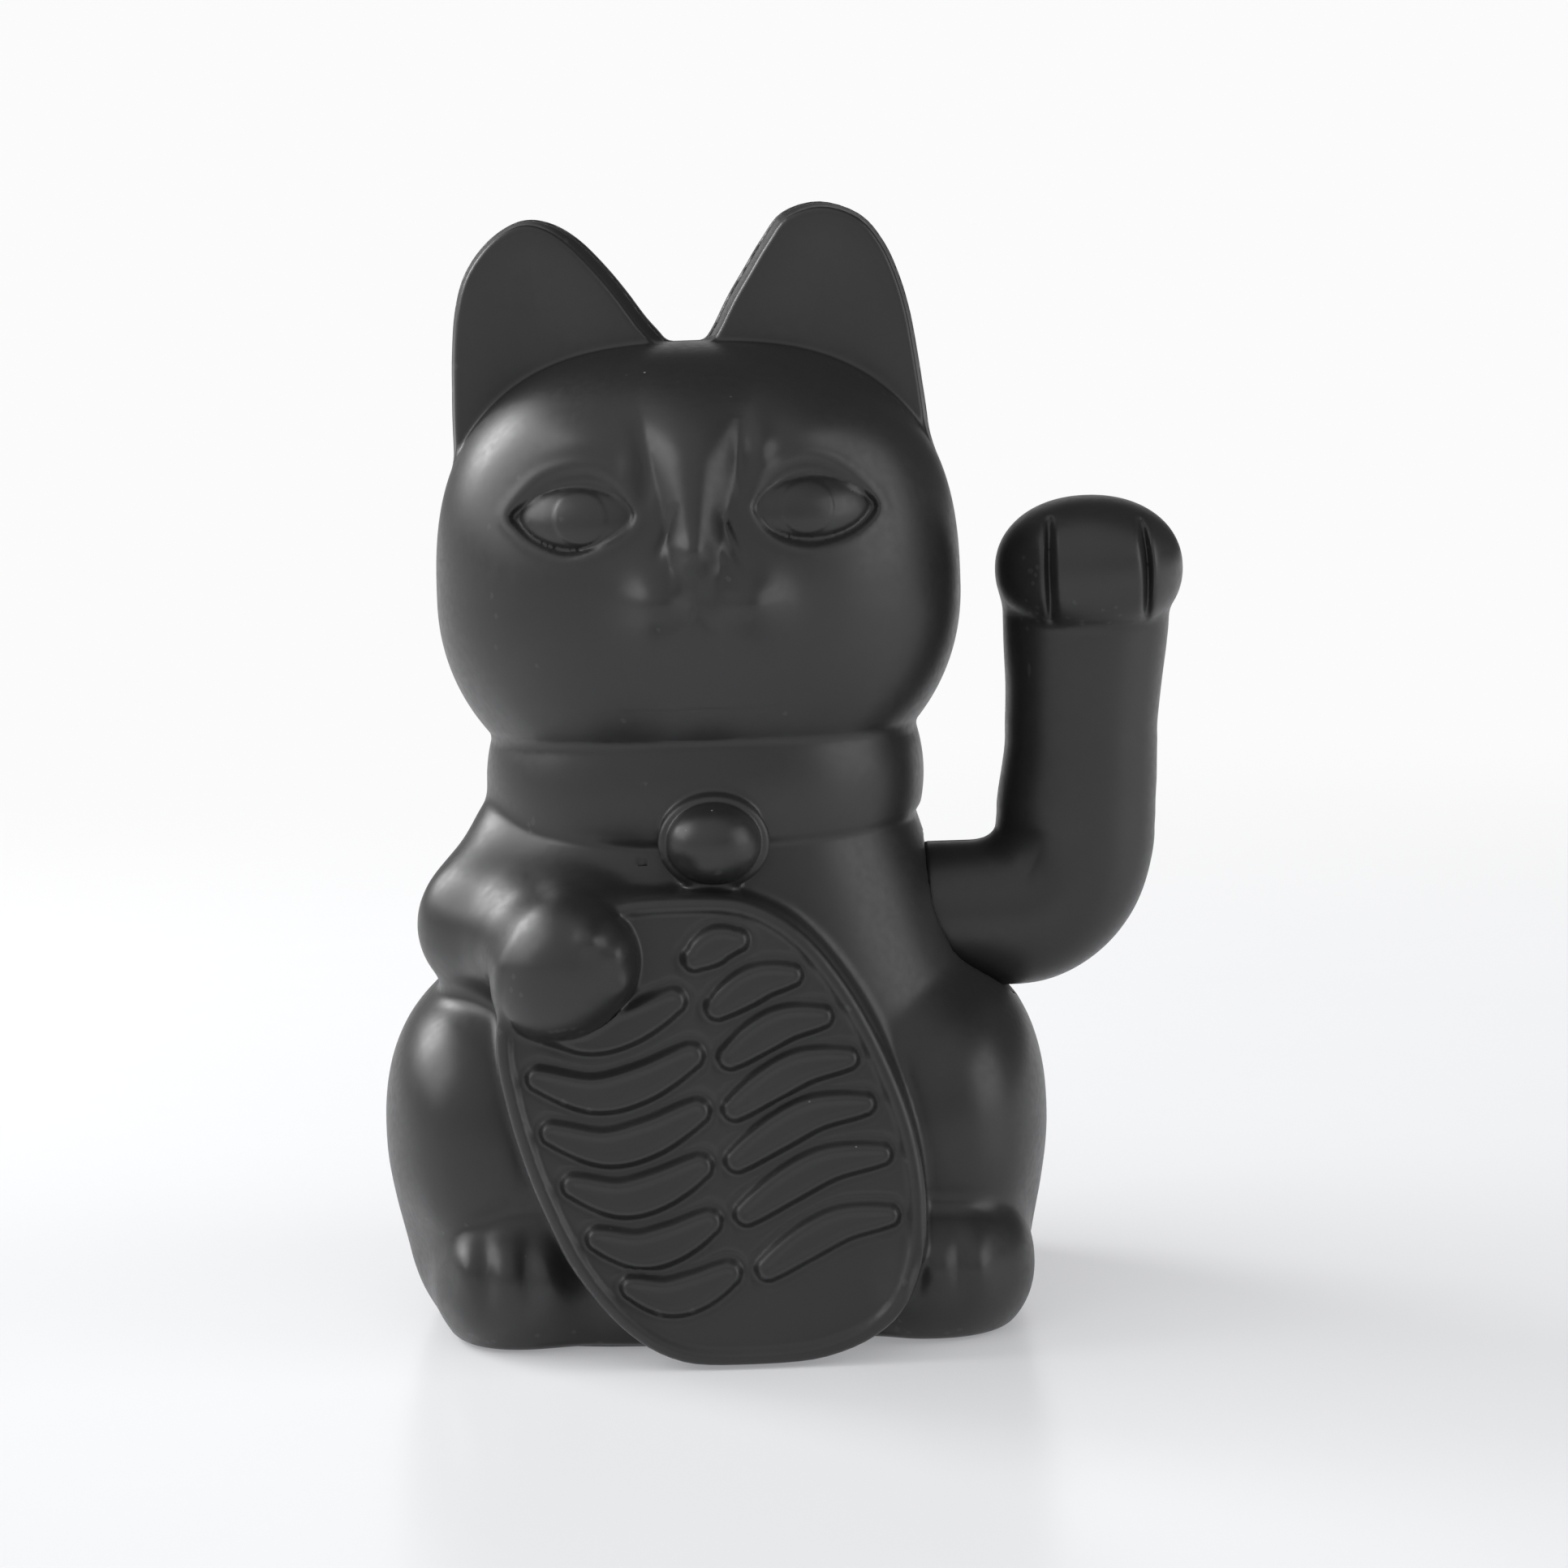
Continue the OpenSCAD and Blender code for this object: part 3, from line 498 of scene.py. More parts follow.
FORE = Lut([[57, 50.6, 10.5], [63, 50.6, 10.5], [65.3, 50.45, 10.8], [67.7, 50.5, 10.85], [70.3, 50.8, 10.75], [73, 51.1, 10.55], [75.7, 51.35, 10.4], [78.3, 51.45, 10.4],
            [83.7, 51.9, 10.65], [89, 52.25, 11.1], [93, 52.45, 11.3], [101, 52.6, 11.4]])
BOW = Lut([[-0.2, 20.1, 10.5], [0, 20.1, 10.5], [0.26, 19.9, 10.3], [0.6, 20.1, 10.2], [0.96, 20.4, 10.1], [1.3, 20.65, 10.0], [1.57, 20.6, 10.0], [1.8, 20.6, 10.0]])


def arm_tube(x, y, z, t):
    """distance to the arm's tube, shrunk by t"""
    # shoulder run along X, quarter bend, forearm
    vx = np.clip(x, 20, BX)
    d1 = np.sqrt((x - vx) ** 2 + y ** 2 + (z - PIVOT) ** 2) - 10.0
    a = np.arctan2(-(z - BZ), x - BX)  # 0 at the forearm side, 90 degrees at the shoulder side
    rc = np.sqrt((x - BX) ** 2 + (z - BZ) ** 2)
    out, rt = BOW(np.clip(a, 0, 1.6))
    d2 = np.sqrt((rc - out + rt) ** 2 + (y * rt / 10) ** 2) - rt
    cx, rx = FORE(np.clip(z, 57, 101))
    vz = np.clip(z, BZ, 101)
    d3 = np.sqrt((x - cx) ** 2 + (y * (rx / (10 + 0.012 * (vz - BZ)))) ** 2 + (z - vz) ** 2) - rx
    quad = (x >= BX) & (z < BZ)
    d1 = np.where(x < BX + 6, d1, 1e3)
    d3 = np.where(z > BZ - 6, d3, 1e3)
    # the inner corner is rounded, the outside of the bend is the torus alone
    corner = smin(d1, d3, 4.4)
    f = np.where(quad, np.minimum(d2, corner + 3 * step(6, 10, rc)), corner)
    return f + t


def arm_outer(p, fine=True):
    x, y, z = p[:, 0], p[:, 1], p[:, 2]
    f = arm_tube(x, y, z, 0.0)
    m = z > 84
    if m.any():
        X, Y, Z = x[m], y[m], z[m]
        tube = smax(f[m], Z - 99, 4)
        paw = ellipsoid(X, Y, Z, (52.9, -1.4, 99.4), (12.7, 12.6, 9.9), 2.12)
        g = 0.0
        for q in ([[47.3, 106.5], [47.0, 100.5], [47.2, 93.5]], [[59.6, 106.0], [60.1, 100.5], [60.0, 93.5]]):
            g = g + ridge(X, Z, q, 0.6) - 0.3 * ridge(X, Z, q, 2.4)
        if fine:
            paw = paw + (1.5 * g) * step(-4, -9, Y)
        f[m] = smin(tube, paw, 0.9)
    return f


def arm(p, side, fine=True):
    x, y, z = p[:, 0], p[:, 1], p[:, 2]
    o = arm_outer(p, fine)
    i = arm_tube(x, y, z, 1.8)
    pw = ellipsoid(x, y, z, (52.9, -0.6, 99.6), (10.7, 9.9, 7.8), 2.4)
    i = smin(np.maximum(i, z - 99), pw, 2)
    i = np.where(x < 29.4, np.minimum(i, np.sqrt(y * y + (z - PIVOT) ** 2) - 8.2), i)
    f = smax(o, -i, 0.25)
    f = smax(f, 29.5 - x, 0.5)
    return smax(f, GAP - side * y, 0.05)


# ---------------------------------------------------------------- meshing
POOL = concurrent.futures.ThreadPoolExecutor(4)


def many(fun, P, chunk=40000):
    """fun over many points, in parallel pieces"""
    if len(P) <= chunk:
        return fun(P)
    return np.concatenate(list(POOL.map(fun, [P[i:i + chunk] for i in range(0, len(P), chunk)])))


def nets(fun, lo, hi, h, relax=2, B=8):
    """quad mesh of fun = 0 inside the box, points moved on to the surface"""
    lo, hi = np.asarray(lo, float), np.asarray(hi, float)
    nb = np.ceil((hi - lo) / (h * B)).astype(int)
    n = nb * B + 1
    F = np.full(n, np.nan, np.float32)
    bi = np.stack(np.meshgrid(*[np.arange(k) for k in nb], indexing="ij"), -1).reshape(-1, 3)
    c = lo + (bi + 0.5) * B * h
    v = many(fun, c)
    bi = bi[np.abs(v) < B * h * 0.87 * 1.25 + 0.6]
    off = np.stack(np.meshgrid(*[np.arange(B + 1)] * 3, indexing="ij"), -1).reshape(-1, 3)
    def fill(s):
        g = (bi[s:s + 60, None, :] * B + off[None]).reshape(-1, 3)
        return g, fun(lo + g * h)

    for g, val in POOL.map(fill, range(0, len(bi), 60)):
        F[g[:, 0], g[:, 1], g[:, 2]] = val
    ins = F < 0
    ok = ~np.isnan(F)
    cell = np.ones(n - 1, bool)
    cnt = np.zeros(n - 1, np.int8)
    for a in (0, 1):
        for b in (0, 1):
            for d in (0, 1):
                sl = (slice(a, n[0] - 1 + a), slice(b, n[1] - 1 + b), slice(d, n[2] - 1 + d))
                cell &= ok[sl]
                cnt += ins[sl]
    act = cell & (cnt > 0) & (cnt < 8)
    idx = np.full(n - 1, -1, np.int64)
    ci = np.argwhere(act)
    idx[act] = np.arange(len(ci))
    acc = np.zeros((len(ci), 3))
    num = np.zeros(len(ci))
    corners = [(a, b, d) for a in (0, 1) for b in (0, 1) for d in (0, 1)]
    for a in corners:
        for ax in range(3):
            if a[ax] == 0:
                b = list(a); b[ax] = 1
                fa = F[ci[:, 0] + a[0], ci[:, 1] + a[1], ci[:, 2] + a[2]]
                fb = F[ci[:, 0] + b[0], ci[:, 1] + b[1], ci[:, 2] + b[2]]
                m = (fa < 0) != (fb < 0)
                t = np.where(m, fa / (fa - fb + 1e-12), 0)
                for k in range(3):
                    acc[:, k] += np.where(m, a[k] + (t if k == ax else 0), 0)
                num += m
    V = lo + (ci + acc / num[:, None]) * h
    Q = []
    for ax in range(3):
        u, w = [(1, 2), (2, 0), (0, 1)][ax]
        sl0 = [slice(1, n[k] - 1) for k in range(3)]; sl1 = list(sl0)
        sl0[ax] = slice(0, n[ax] - 1); sl1[ax] = slice(1, n[ax])
        a, b = ins[tuple(sl0)], ins[tuple(sl1)]
        e = np.argwhere(a != b)
        base = e.copy()
        for k in range(3):
            if k != ax:
                base[:, k] += 1
        q = []
        for du, dw in ((0, 0), (1, 0), (1, 1), (0, 1)):
            cc = base.copy()
            cc[:, u] -= du
            cc[:, w] -= dw
            q.append(idx[cc[:, 0], cc[:, 1], cc[:, 2]])
        q = np.stack(q, 1)
        flip = a[e[:, 0], e[:, 1], e[:, 2]]
        q[~flip] = q[~flip][:, ::-1]
        Q.append(q[(q >= 0).all(1)])
    Q = np.concatenate(Q)
    V = settle(fun, V, h, 2)
    for _ in range(relax):
        V = settle(fun, smooth(V, Q, 0.6), h, 1)
    V = settle(fun, V, h, 1)
    return V, Q


def settle(fun, V, h, n):
    e = 0.04
    for _ in range(n):
        f = many(fun, V)
        g = np.stack([(many(fun, V + d) - f) / e for d in np.eye(3) * e], 1)
        s = f / np.maximum((g ** 2).sum(1), 0.25)
        s = np.clip(s, -0.5 * h, 0.5 * h)
        V = V - g * s[:, None]
    return V


def facing(skin, V):
    """the points of the outside that face the front and carry relief"""
    e = 0.04
    f = many(lambda p: skin(p, False), V)
    g = np.stack([(many(lambda p: skin(p, False), V + d) - f) / e for d in np.eye(3) * e], 1)
    raised = np.abs(many(lambda p: skin(p, True), V) - f) > 0.002
    return np.where(raised & (np.abs(f) < 0.25) & (g[:, 1] < -0.4 * np.linalg.norm(g, axis=1)) & (V[:, 1] < -3))[0]


def press(skin, V, go, n):
    """moves the points straight along y on to the surface, so that relief doesn't push them sideways"""
    e = 0.04
    V = V.copy()
    for _ in range(n):
        P = V[go]
        f = many(skin, P)
        gy = (many(skin, P + [0, e, 0]) - f) / e
        V[go, 1] -= np.clip(f / np.where(gy > -0.3, -1.0, gy), -1.2, 1.2)
    return V


def true_edge(skin, V, side):
    """sets the points at the parting edge exactly on it"""
    near = np.where((np.abs(V[:, 1] - side * GAP) < 0.22) & (np.abs(many(skin, V)) < 0.22))[0]
    P = V[near]
    P[:, 1] = side * GAP
    e = 0.04
    for _ in range(4):
        f = many(skin, P)
        gx = (many(skin, P + [e, 0, 0]) - f) / e
        gz = (many(skin, P + [0, 0, e]) - f) / e
        s = np.clip(f / np.maximum(gx * gx + gz * gz, 0.2), -0.2, 0.2)
        P[:, 0] -= gx * s
        P[:, 2] -= gz * s
    V = V.copy()
    V[near] = P
    return V


def smooth(V, Q, k):
    acc = np.zeros_like(V)
    num = np.zeros(len(V))
    for a, b in ((0, 1), (1, 2), (2, 3), (3, 0)):
        for s, t in ((a, b), (b, a)):
            for c in range(3):
                acc[:, c] += np.bincount(Q[:, s], V[Q[:, t], c], len(V))
            num += np.bincount(Q[:, s], minlength=len(V))
    return V + k * (acc / np.maximum(num, 1)[:, None] - V)


def refine(fun, V, Q, pick, h):
    """splits the picked quads in four; a neighbour that isn't split takes the new points into its outline"""
    E = np.concatenate([Q[:, [0, 1]], Q[:, [1, 2]], Q[:, [2, 3]], Q[:, [3, 0]]])
    key = np.sort(E, 1)
    uniq, inv = np.unique(key, axis=0, return_inverse=True)
    inv = inv.reshape(4, len(Q)).T  # edge id of each quad side
    used = np.zeros(len(uniq), bool)
    used[inv[pick].ravel()] = True
    mid = np.full(len(uniq), -1)
    mid[used] = len(V) + np.arange(used.sum())
    Vm = V[uniq[used]].mean(1)
    cen = np.full(len(Q), -1)
    cen[pick] = len(V) + used.sum() + np.arange(pick.sum())
    Vc = V[Q[pick]].mean(1)
    V2 = np.concatenate([V, Vm, Vc])
    q, e, c = Q[pick], mid[inv[pick]], cen[pick]
    quads = np.concatenate([np.stack([q[:, k], e[:, k], c, e[:, (k + 3) % 4]], 1) for k in range(4)])
    rest = ~pick
    touched = rest & used[inv].any(1)
    plain = Q[rest & ~touched]
    odd = []
    for row, ed in zip(Q[touched], mid[inv[touched]]):
        ring = []
        for k in range(4):
            ring.append(int(row[k]))
            if ed[k] >= 0:
                ring.append(int(ed[k]))
        odd.append(ring)
    new = np.arange(len(V), len(V2))
    V2[new] = settle(fun, V2[new], h, 2)
    return V2, np.concatenate([plain, quads]), odd


# ---------------------------------------------------------------- pieces
def make(name, side, fun, skin, lo, hi, h, detail=None):
    """closed mesh piece, in metres, from a field fun(p, fine); skin is its outside, detail(V) picks the places meshed finer"""
    V, Q = nets(lambda p: fun(p, False), lo, hi, h)
    odd = []
    if detail is not None:
        c = V[Q].mean(1)
        V, Q, odd = refine(lambda p: fun(p, False), V, Q, detail(c), h)
    # on to the detailed surface, then evened out and set down again
    go = facing(skin, V)
    V = press(lambda p: skin(p, True), V, go, 5)
    W = smooth(V, Q, 0.3)
    V = settle(lambda p: fun(p, True), W, 0.3, 1)
    V[go] = W[go]
    V = press(lambda p: skin(p, True), V, go, 3)
    V = true_edge(lambda p: skin(p, True), V, side)
    loops = [Q.ravel()]
    starts = [np.arange(len(Q)) * 4]
    at = len(Q) * 4
    if odd:
        loops.append(np.array([i for r in odd for i in r]))
        lens = np.array([len(r) for r in odd])
        starts.append(at + np.concatenate([[0], np.cumsum(lens)[:-1]]))
    loops, starts = np.concatenate(loops).astype(np.int32), np.concatenate(starts).astype(np.int32)
    me = bpy.data.meshes.new(name)
    me.vertices.add(len(V))
    me.vertices.foreach_set("co", (V / 1000).astype(np.float32).ravel())
    me.loops.add(len(loops))
    me.loops.foreach_set("vertex_index", loops)
    me.polygons.add(len(starts))
    me.polygons.foreach_set("loop_start", starts)
    me.update(calc_edges=True)
    me.polygons.foreach_set("use_smooth", np.ones(len(starts), bool))
    me.set_sharp_from_angle(angle=math.radians(72))
    if me.validate(verbose=False):
        print("mesh repaired", name)
    ob = bpy.data.objects.new(name, me)
    bpy.context.scene.collection.objects.link(ob)
    print("made", name, len(V), "points")
    return ob


H = 0.6


def front_detail(c):
    x, y, z = c[:, 0], c[:, 1], c[:, 2]
    o = outer(c, False) > -0.6
    face_m = (z > 92) & (z < 126) & (y < -14) & (np.abs(x) < 27)
    ear_m = (z > 118) & (y < 1) & (y > -9)
    coin_m = (y < coin_face(z) + 4)
    bell_m = (np.abs(x - 1.2) < 9) & (z > 58.5) & (z < 76) & (y < -22)
    toe_m = (z < 19) & (y < -22)
    rim_m = np.abs(z - 67.5) < 2.2
    paw_m = (x < -4) & (y < -24) & (z > 42) & (z < 64)
    return o & (face_m | ear_m | coin_m | bell_m | toe_m | rim_m | paw_m)


front = make("front_half", -1, lambda p, fine: body(p, -1, fine), outer, (-50, -46, -3), (50, 4, 154), H, front_detail)
rear = make("rear_half", 1, lambda p, fine: body(p, 1, fine), outer, (-50, -4, -3), (50, 48, 154), H)
arm_f = make("raised_arm_front", -1, lambda p, fine: arm(p, -1, fine), arm_outer, (26, -16, 38), (70, 3, 114), H * 0.8, lambda c: (c[:, 2] > 86) & (c[:, 1] < -2))
arm_r = make("raised_arm_rear", 1, lambda p, fine: arm(p, 1, fine), arm_outer, (26, -3, 38), (70, 16, 114), H * 0.8)


# ---------------------------------------------------------------- materials
def tree(name):
    m = bpy.data.materials.new(name)
    m.use_nodes = True
    nt = m.node_tree
    return m, nt, nt.nodes["Principled BSDF"]


def node(nt, kind, **kw):
    n = nt.nodes.new(kind)
    for k, v in kw.items():
        if k in n.inputs.keys():
            n.inputs[k].default_value = v
        else:
            setattr(n, k, v)
    return n


def coords(nt):
    return nt.nodes.new("ShaderNodeTexCoord").outputs["Object"]


def noise(nt, scale, detail=3.0, rough=0.5, co=None, stretch=None):
    n = node(nt, "ShaderNodeTexNoise", Scale=scale, Detail=detail, Roughness=rough)
    src = co or coords(nt)
    if stretch:
        mp = node(nt, "ShaderNodeMapping")
        mp.inputs["Scale"].default_value = stretch
        nt.links.new(src, mp.inputs["Vector"])
        src = mp.outputs["Vector"]
    nt.links.new(src, n.inputs["Vector"])
    return n.outputs["Fac"]


def ramp(nt, fac, stops):
    r = nt.nodes.new("ShaderNodeValToRGB")
    e = r.color_ramp.elements
    while len(e) < len(stops):
        e.new(0.5)
    for el, (p, c) in zip(e, stops):
        el.position = p
        el.color = (*c, 1) if len(c) == 3 else c
    nt.links.new(fac, r.inputs["Fac"])
    return r.outputs["Color"]


def spread(nt, fac, lo, hi, a=0.3, b=0.7):
    r = node(nt, "ShaderNodeMapRange")
    for k, v in (("From Min", a), ("From Max", b), ("To Min", lo), ("To Max", hi)):
        r.inputs[k].default_value = v
    nt.links.new(fac, r.inputs["Value"])
    return r.outputs["Result"]


def bump_chain(nt, bsdf, items):
    last = None
    for fac, strength, dist in items:
        b = node(nt, "ShaderNodeBump", Strength=strength, Distance=dist)
        nt.links.new(fac, b.inputs["Height"])
        if last is not None:
            nt.links.new(last, b.inputs["Normal"])
        last = b.outputs["Normal"]
    nt.links.new(last, bsdf.inputs["Normal"])


def mix_color(nt, fac, a, b):
    m = nt.nodes.new("ShaderNodeMix")
    m.data_type = "RGBA"
    nt.links.new(fac, m.inputs["Factor"])
    for sock, v in ((m.inputs[6], a), (m.inputs[7], b)):
        if isinstance(v, tuple):
            sock.default_value = (*v, 1)
        else:
            nt.links.new(v, sock)
    return m.outputs[2]


def satin_black():
    m, nt, b = tree("satin_black_plastic")
    broad = noise(nt, 45, 3)
    fine = noise(nt, 900, 2)
    grain = noise(nt, 4200, 2, 0.6)
    col = ramp(nt, broad, [(0.3, (0.0155, 0.0155, 0.0162)), (0.7, (0.0200, 0.0200, 0.0207))])
    # sparse dust on upward faces
    geo = nt.nodes.new("ShaderNodeNewGeometry")
    sep = nt.nodes.new("ShaderNodeSeparateXYZ")
    nt.links.new(geo.outputs["Normal"], sep.inputs["Vector"])
    up = spread(nt, sep.outputs["Z"], 0.0, 1.0, 0.35, 0.95)
    vor = node(nt, "ShaderNodeTexVoronoi", Scale=330.0)
    nt.links.new(coords(nt), vor.inputs["Vector"])
    speck = spread(nt, vor.outputs["Distance"], 1.0, 0.0, 0.035, 0.06)
    patch = spread(nt, noise(nt, 120, 2), 0.0, 1.0, 0.56, 0.66)
    a = node(nt, "ShaderNodeMath", operation="MULTIPLY")
    nt.links.new(speck, a.inputs[0]); nt.links.new(up, a.inputs[1])
    c = node(nt, "ShaderNodeMath", operation="MULTIPLY")
    nt.links.new(a.outputs[0], c.inputs[0]); nt.links.new(patch, c.inputs[1])
    # convex edges painted a touch lighter: partly wear, partly a painted highlight along ridges and rims
    edge = spread(nt, geo.outputs["Pointiness"], 0.0, 0.5, 0.53, 0.60)
    col = mix_color(nt, edge, col, (0.05, 0.05, 0.052))
    col = mix_color(nt, c.outputs[0], col, (0.28, 0.27, 0.25))
    nt.links.new(col, b.inputs["Base Color"])
    nt.links.new(spread(nt, fine, 0.34, 0.41), b.inputs["Roughness"])
    b.inputs["Specular IOR Level"].default_value = 0.5
    bump_chain(nt, b, [(fine, 0.03, 0.0001), (grain, 0.04, 0.00004)])
    return m


def textured_black():
    m, nt, b = tree("spark_textured_black")
    v = node(nt, "ShaderNodeTexVoronoi", Scale=2600.0)
    nt.links.new(coords(nt), v.inputs["Vector"])
    n = noise(nt, 1500, 4, 0.6)
    col = ramp(nt, noise(nt, 60, 3), [(0.3, (0.016, 0.016, 0.017)), (0.7, (0.026, 0.026, 0.027))])
    nt.links.new(col, b.inputs["Base Color"])
    nt.links.new(spread(nt, n, 0.5, 0.68), b.inputs["Roughness"])
    bump_chain(nt, b, [(v.outputs["Distance"], 0.35, 0.0001), (n, 0.3, 0.0001)])
    return m


def natural():
    m, nt, b = tree("natural_white_plastic")
    col = ramp(nt, noise(nt, 80, 3), [(0.25, (0.62, 0.60, 0.54)), (0.75, (0.74, 0.72, 0.66))])
    nt.links.new(col, b.inputs["Base Color"])
    nt.links.new(spread(nt, noise(nt, 700, 3), 0.32, 0.5), b.inputs["Roughness"])
    b.inputs["Subsurface Weight"].default_value = 0.05
    b.inputs["Subsurface Scale"].default_value = 0.001
    bump_chain(nt, b, [(noise(nt, 1800, 3), 0.2, 0.00008)])
    return m


def metal(name, base, rough, stretch, dark=0.75, scale=900):
    m, nt, b = tree(name)
    streak = noise(nt, scale, 4, 0.6, stretch=stretch)
    col = ramp(nt, streak, [(0.3, tuple(c * dark for c in base)), (0.7, base)])
    nt.links.new(col, b.inputs["Base Color"])
    b.inputs["Metallic"].default_value = 1.0
    nt.links.new(spread(nt, streak, rough - 0.07, rough + 0.1), b.inputs["Roughness"])
    bump_chain(nt, b, [(streak, 0.18, 0.00005)])
    return m


def plain(name, a, c, rough, bump=0.15, scale=900, coat=0.0):
    m, nt, b = tree(name)
    col = ramp(nt, noise(nt, 120, 3), [(0.3, a), (0.7, c)])
    nt.links.new(col, b.inputs["Base Color"])
    nt.links.new(spread(nt, noise(nt, scale, 3), rough - 0.05, rough + 0.08), b.inputs["Roughness"])
    b.inputs["Coat Weight"].default_value = coat
    bump_chain(nt, b, [(noise(nt, scale * 1.6, 3), bump, 0.00006)])
    return m


def winding():
    m, nt, b = tree("copper_winding")
    w = node(nt, "ShaderNodeTexWave", Scale=1100.0, Distortion=1.5, Detail=1.0)
    w.bands_direction = "Z"
    nt.links.new(coords(nt), w.inputs["Vector"])
    col = ramp(nt, w.outputs["Fac"], [(0.1, (0.22, 0.07, 0.025)), (0.6, (0.62, 0.25, 0.10))])
    nt.links.new(col, b.inputs["Base Color"])
    b.inputs["Metallic"].default_value = 0.9
    nt.links.new(spread(nt, noise(nt, 900, 2), 0.25, 0.4), b.inputs["Roughness"])
    b.inputs["Coat Weight"].default_value = 0.4
    bump_chain(nt, b, [(w.outputs["Fac"], 0.6, 0.00012)])
    return m


def board():
    m, nt, b = tree("green_board")
    weave = node(nt, "ShaderNodeTexWave", Scale=420.0, Distortion=0.4)
    nt.links.new(coords(nt), weave.inputs["Vector"])
    col = ramp(nt, noise(nt, 260, 2), [(0.42, (0.012, 0.085, 0.035)), (0.58, (0.03, 0.15, 0.06))])
    nt.links.new(col, b.inputs["Base Color"])
    nt.links.new(spread(nt, noise(nt, 500, 2), 0.25, 0.38), b.inputs["Roughness"])
    bump_chain(nt, b, [(weave.outputs["Fac"], 0.12, 0.00005)])
    return m


SATIN = satin_black()
TEX = textured_black()
NAT = natural()
STEEL = metal("zinc_steel", (0.62, 0.62, 0.63), 0.3, (1, 1, 6))
GROUND = metal("ground_steel", (0.66, 0.66, 0.67), 0.22, (14, 1, 1))
BRASS = metal("turned_brass", (0.78, 0.56, 0.26), 0.26, (14, 1, 1))
NICKEL = metal("nickel_plate", (0.72, 0.70, 0.66), 0.24, (1, 1, 5))
FERRITE = plain("ferrite", (0.03, 0.03, 0.032), (0.055, 0.055, 0.058), 0.5, 0.4, 700)
COPPER = winding()
BOARD = board()
EPOXY = plain("epoxy_drop", (0.008, 0.008, 0.008), (0.016, 0.016, 0.017), 0.2, 0.2, 300, 0.3)
SLEEVE = plain("blue_sleeve", (0.02, 0.04, 0.16), (0.03, 0.06, 0.22), 0.3, 0.15, 500, 0.2)
CELL = metal("cell_jacket", (0.34, 0.35, 0.37), 0.32, (8, 1, 1), 0.85, 500)
RED = plain("red_insulation", (0.42, 0.012, 0.012), (0.55, 0.03, 0.02), 0.35)
BLACKW = plain("black_insulation", (0.012, 0.012, 0.012), (0.022, 0.022, 0.022), 0.35)
WHITEW = plain("white_insulation", (0.66, 0.66, 0.63), (0.76, 0.76, 0.73), 0.35)

LOOK = {
    "base_plate": TEX, "battery_door": TEX, "switch_slider": TEX, "arm_hub": TEX,
    "base_screws": STEEL, "frame_screws": STEEL, "retaining_clips": STEEL,
    "pivot_shaft": GROUND, "counterweight": GROUND, "bearing_bushes": BRASS,
    "drive_frame": NAT, "pendulum_lever": NAT, "coil_bobbin": NAT, "drive_magnet": FERRITE,
    "circuit_board": BOARD, "drive_coil": COPPER, "driver_chip": EPOXY, "capacitor": SLEEVE,
    "battery_cell": CELL, "battery_spring": NICKEL, "contact_negative": NICKEL, "contact_positive": NICKEL,
    "switch_body": NICKEL, "lead_red": RED, "lead_black": BLACKW, "lead_white": WHITEW,
}
for name, mat in LOOK.items():
    ob = N[name]
    ob.data.materials.clear()
    ob.data.materials.append(mat)

for ob, cad, bd in ((front, "front_shell", "body"), (rear, "rear_shell", "body"), (arm_f, "arm_front_shell", "arm"), (arm_r, "arm_rear_shell", "arm")):
    ob.data.materials.append(SATIN)
    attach(ob, bd)
    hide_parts(cad)


# ---------------------------------------------------------------- floor, light, camera
def sheet_mesh(name, pts, faces, mat):
    me = bpy.data.meshes.new(name)
    me.from_pydata(pts, [], faces)
    me.materials.append(mat)
    ob = bpy.data.objects.new(name, me)
    bpy.context.scene.collection.objects.link(ob)
    return ob


fm, nt, b = tree("white_gloss_table")
nt.links.new(ramp(nt, noise(nt, 2.0, 2), [(0.3, (0.745, 0.75, 0.765)), (0.7, (0.775, 0.78, 0.795))]), b.inputs["Base Color"])
nt.links.new(spread(nt, noise(nt, 14, 3), 0.22, 0.27), b.inputs["Roughness"])
b.inputs["Specular IOR Level"].default_value = 0.36
b.inputs["Emission Color"].default_value = (0.97, 0.975, 1, 1)
b.inputs["Emission Strength"].default_value = 0.265
co = nt.nodes.new("ShaderNodeTexCoord")
ln = node(nt, "ShaderNodeVectorMath", operation="LENGTH")
nt.links.new(co.outputs["Object"], ln.inputs[0])
far = node(nt, "ShaderNodeMapRange", interpolation_type="SMOOTHSTEP")
far.inputs["From Min"].default_value = 0.22
far.inputs["From Max"].default_value = 0.62
nt.links.new(ln.outputs["Value"], far.inputs["Value"])
em = node(nt, "ShaderNodeEmission", Strength=0.965)
em.inputs["Color"].default_value = (1, 1, 1, 1)
mx = nt.nodes.new("ShaderNodeMixShader")
nt.links.new(far.outputs["Result"], mx.inputs["Fac"])
nt.links.new(b.outputs["BSDF"], mx.inputs[1])
nt.links.new(em.outputs["Emission"], mx.inputs[2])
nt.links.new(mx.outputs["Shader"], nt.nodes["Material Output"].inputs["Surface"])
sheet_mesh("floor", [(-6, -6, 0), (6, -6, 0), (6, 6, 0), (-6, 6, 0)], [(0, 1, 2, 3)], fm)

# the room: a white backdrop, a dimmer room in front of it, darkest behind on the right
world = bpy.data.worlds.new("studio")
bpy.context.scene.world = world
world.use_nodes = True
wt = world.node_tree
bg = wt.nodes["Background"]
bg.inputs["Color"].default_value = (1, 1, 1, 1)


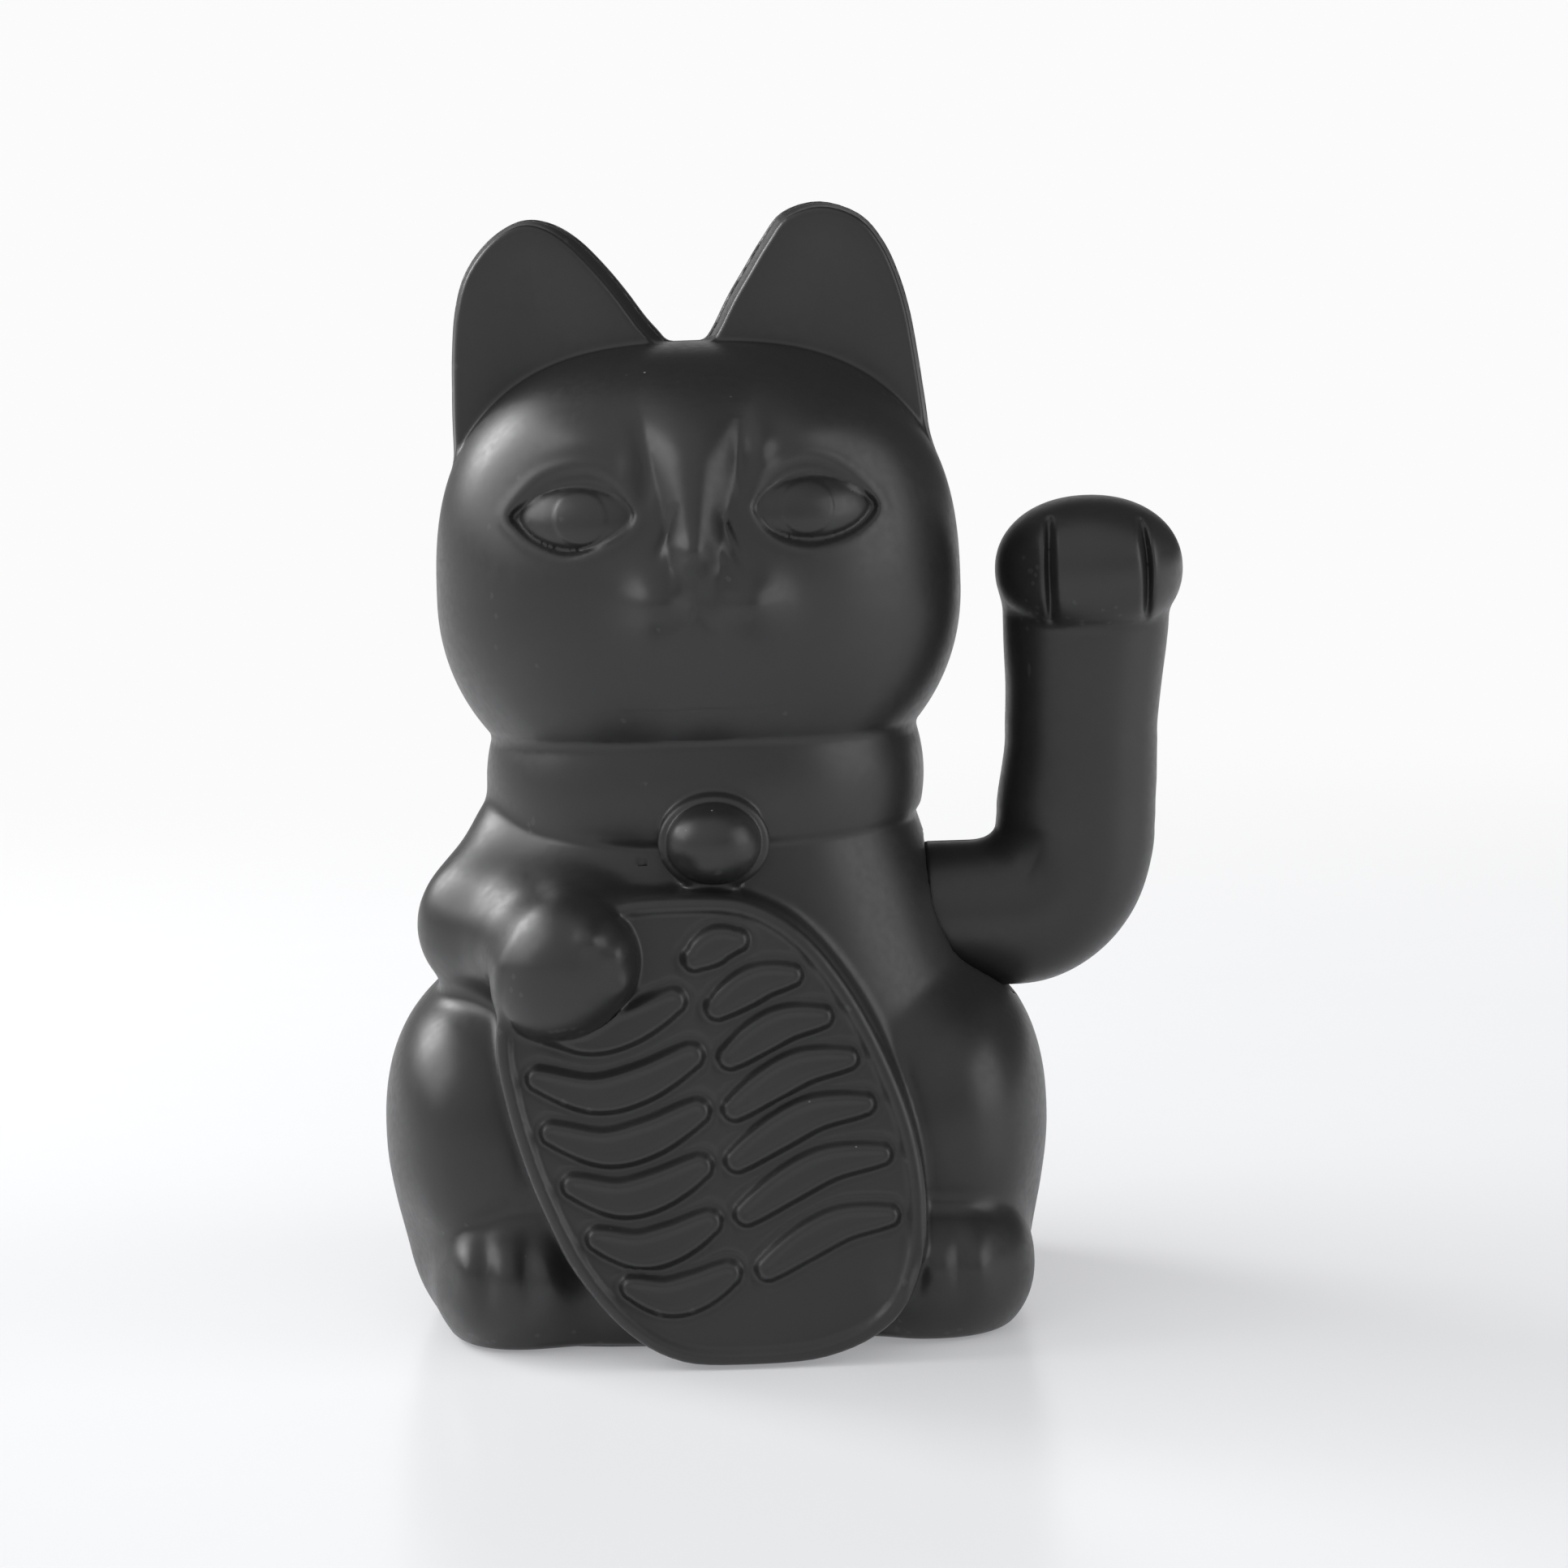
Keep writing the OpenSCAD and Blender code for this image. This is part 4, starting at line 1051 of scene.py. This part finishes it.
def toward(axis, lo, hi):
    """0 to 1 as the direction turns towards axis"""
    tc = wt.nodes.new("ShaderNodeTexCoord")
    d = node(wt, "ShaderNodeVectorMath", operation="DOT_PRODUCT")
    v = Vector(axis).normalized()
    wt.links.new(tc.outputs["Generated"], d.inputs[0])
    d.inputs[1].default_value = v
    r = node(wt, "ShaderNodeMapRange", interpolation_type="SMOOTHSTEP")
    r.inputs["From Min"].default_value = lo
    r.inputs["From Max"].default_value = hi
    wt.links.new(d.outputs["Value"], r.inputs["Value"])
    return r.outputs["Result"]


def blend_value(fac, a, b):
    m = wt.nodes.new("ShaderNodeMix")
    wt.links.new(fac, m.inputs["Factor"])
    for sock, v in ((m.inputs[2], a), (m.inputs[3], b)):
        if isinstance(v, float):
            sock.default_value = v
        else:
            wt.links.new(v, sock)
    return m.outputs[0]


room = blend_value(toward((-0.35, -0.5, 0.8), 0.35, 0.95), 0.42, 0.80)
room = blend_value(toward((0.62, 0.68, 0.35), 0.25, 0.85), room, 0.10)
room = blend_value(toward((0.1, 0.8, 0.6), 0.5, 0.85), room, 0.08)
room = blend_value(toward((0, 0.99, 0.10), 0.92, 0.98), room, 0.70)
path = wt.nodes.new("ShaderNodeLightPath")
wt.links.new(blend_value(path.outputs["Is Camera Ray"], room, 0.965), bg.inputs["Strength"])


def softbox(name, loc, size, power, target=(0, 0, 0.08), size_y=None):
    l = bpy.data.lights.new(name, "AREA")
    l.size = size
    if size_y:
        l.shape = "RECTANGLE"
        l.size_y = size_y
    l.energy = power
    ob = bpy.data.objects.new(name, l)
    ob.location = loc
    ob.rotation_euler = (Vector(target) - Vector(loc)).to_track_quat("-Z", "Y").to_euler()
    bpy.context.scene.collection.objects.link(ob)
    return ob


softbox("key_left", (-0.76, 0.14, 0.55), 0.95, 4.8, size_y=0.56)
softbox("key_centre", (-0.66, 0.46, 0.53), 0.30, 2.4, size_y=0.30)
softbox("fill_right", (0.84, -0.24, 0.36), 0.62, 2.3, size_y=0.62)

ELEV, ROLL, DIST = math.radians(7.5), math.radians(1.9), 0.650
target = Vector((0.01066, 0, 0.0711))
look = Vector((0, math.cos(ELEV), -math.sin(ELEV)))
cam = bpy.data.cameras.new("camera")
cam.sensor_width = 36
cam.lens = 5863 / 1932 * 36
cam.clip_start = 0.01
cam_ob = bpy.data.objects.new("camera", cam)
bpy.context.scene.collection.objects.link(cam_ob)
cam_ob.location = target - DIST * look
cam_ob.rotation_euler = (look.to_track_quat("-Z", "Y").to_matrix() @ Matrix.Rotation(-ROLL, 3, "Z")).to_euler()
bpy.context.scene.camera = cam_ob
bpy.context.scene.view_settings.view_transform = "Standard"

bpy.context.view_layer.update()
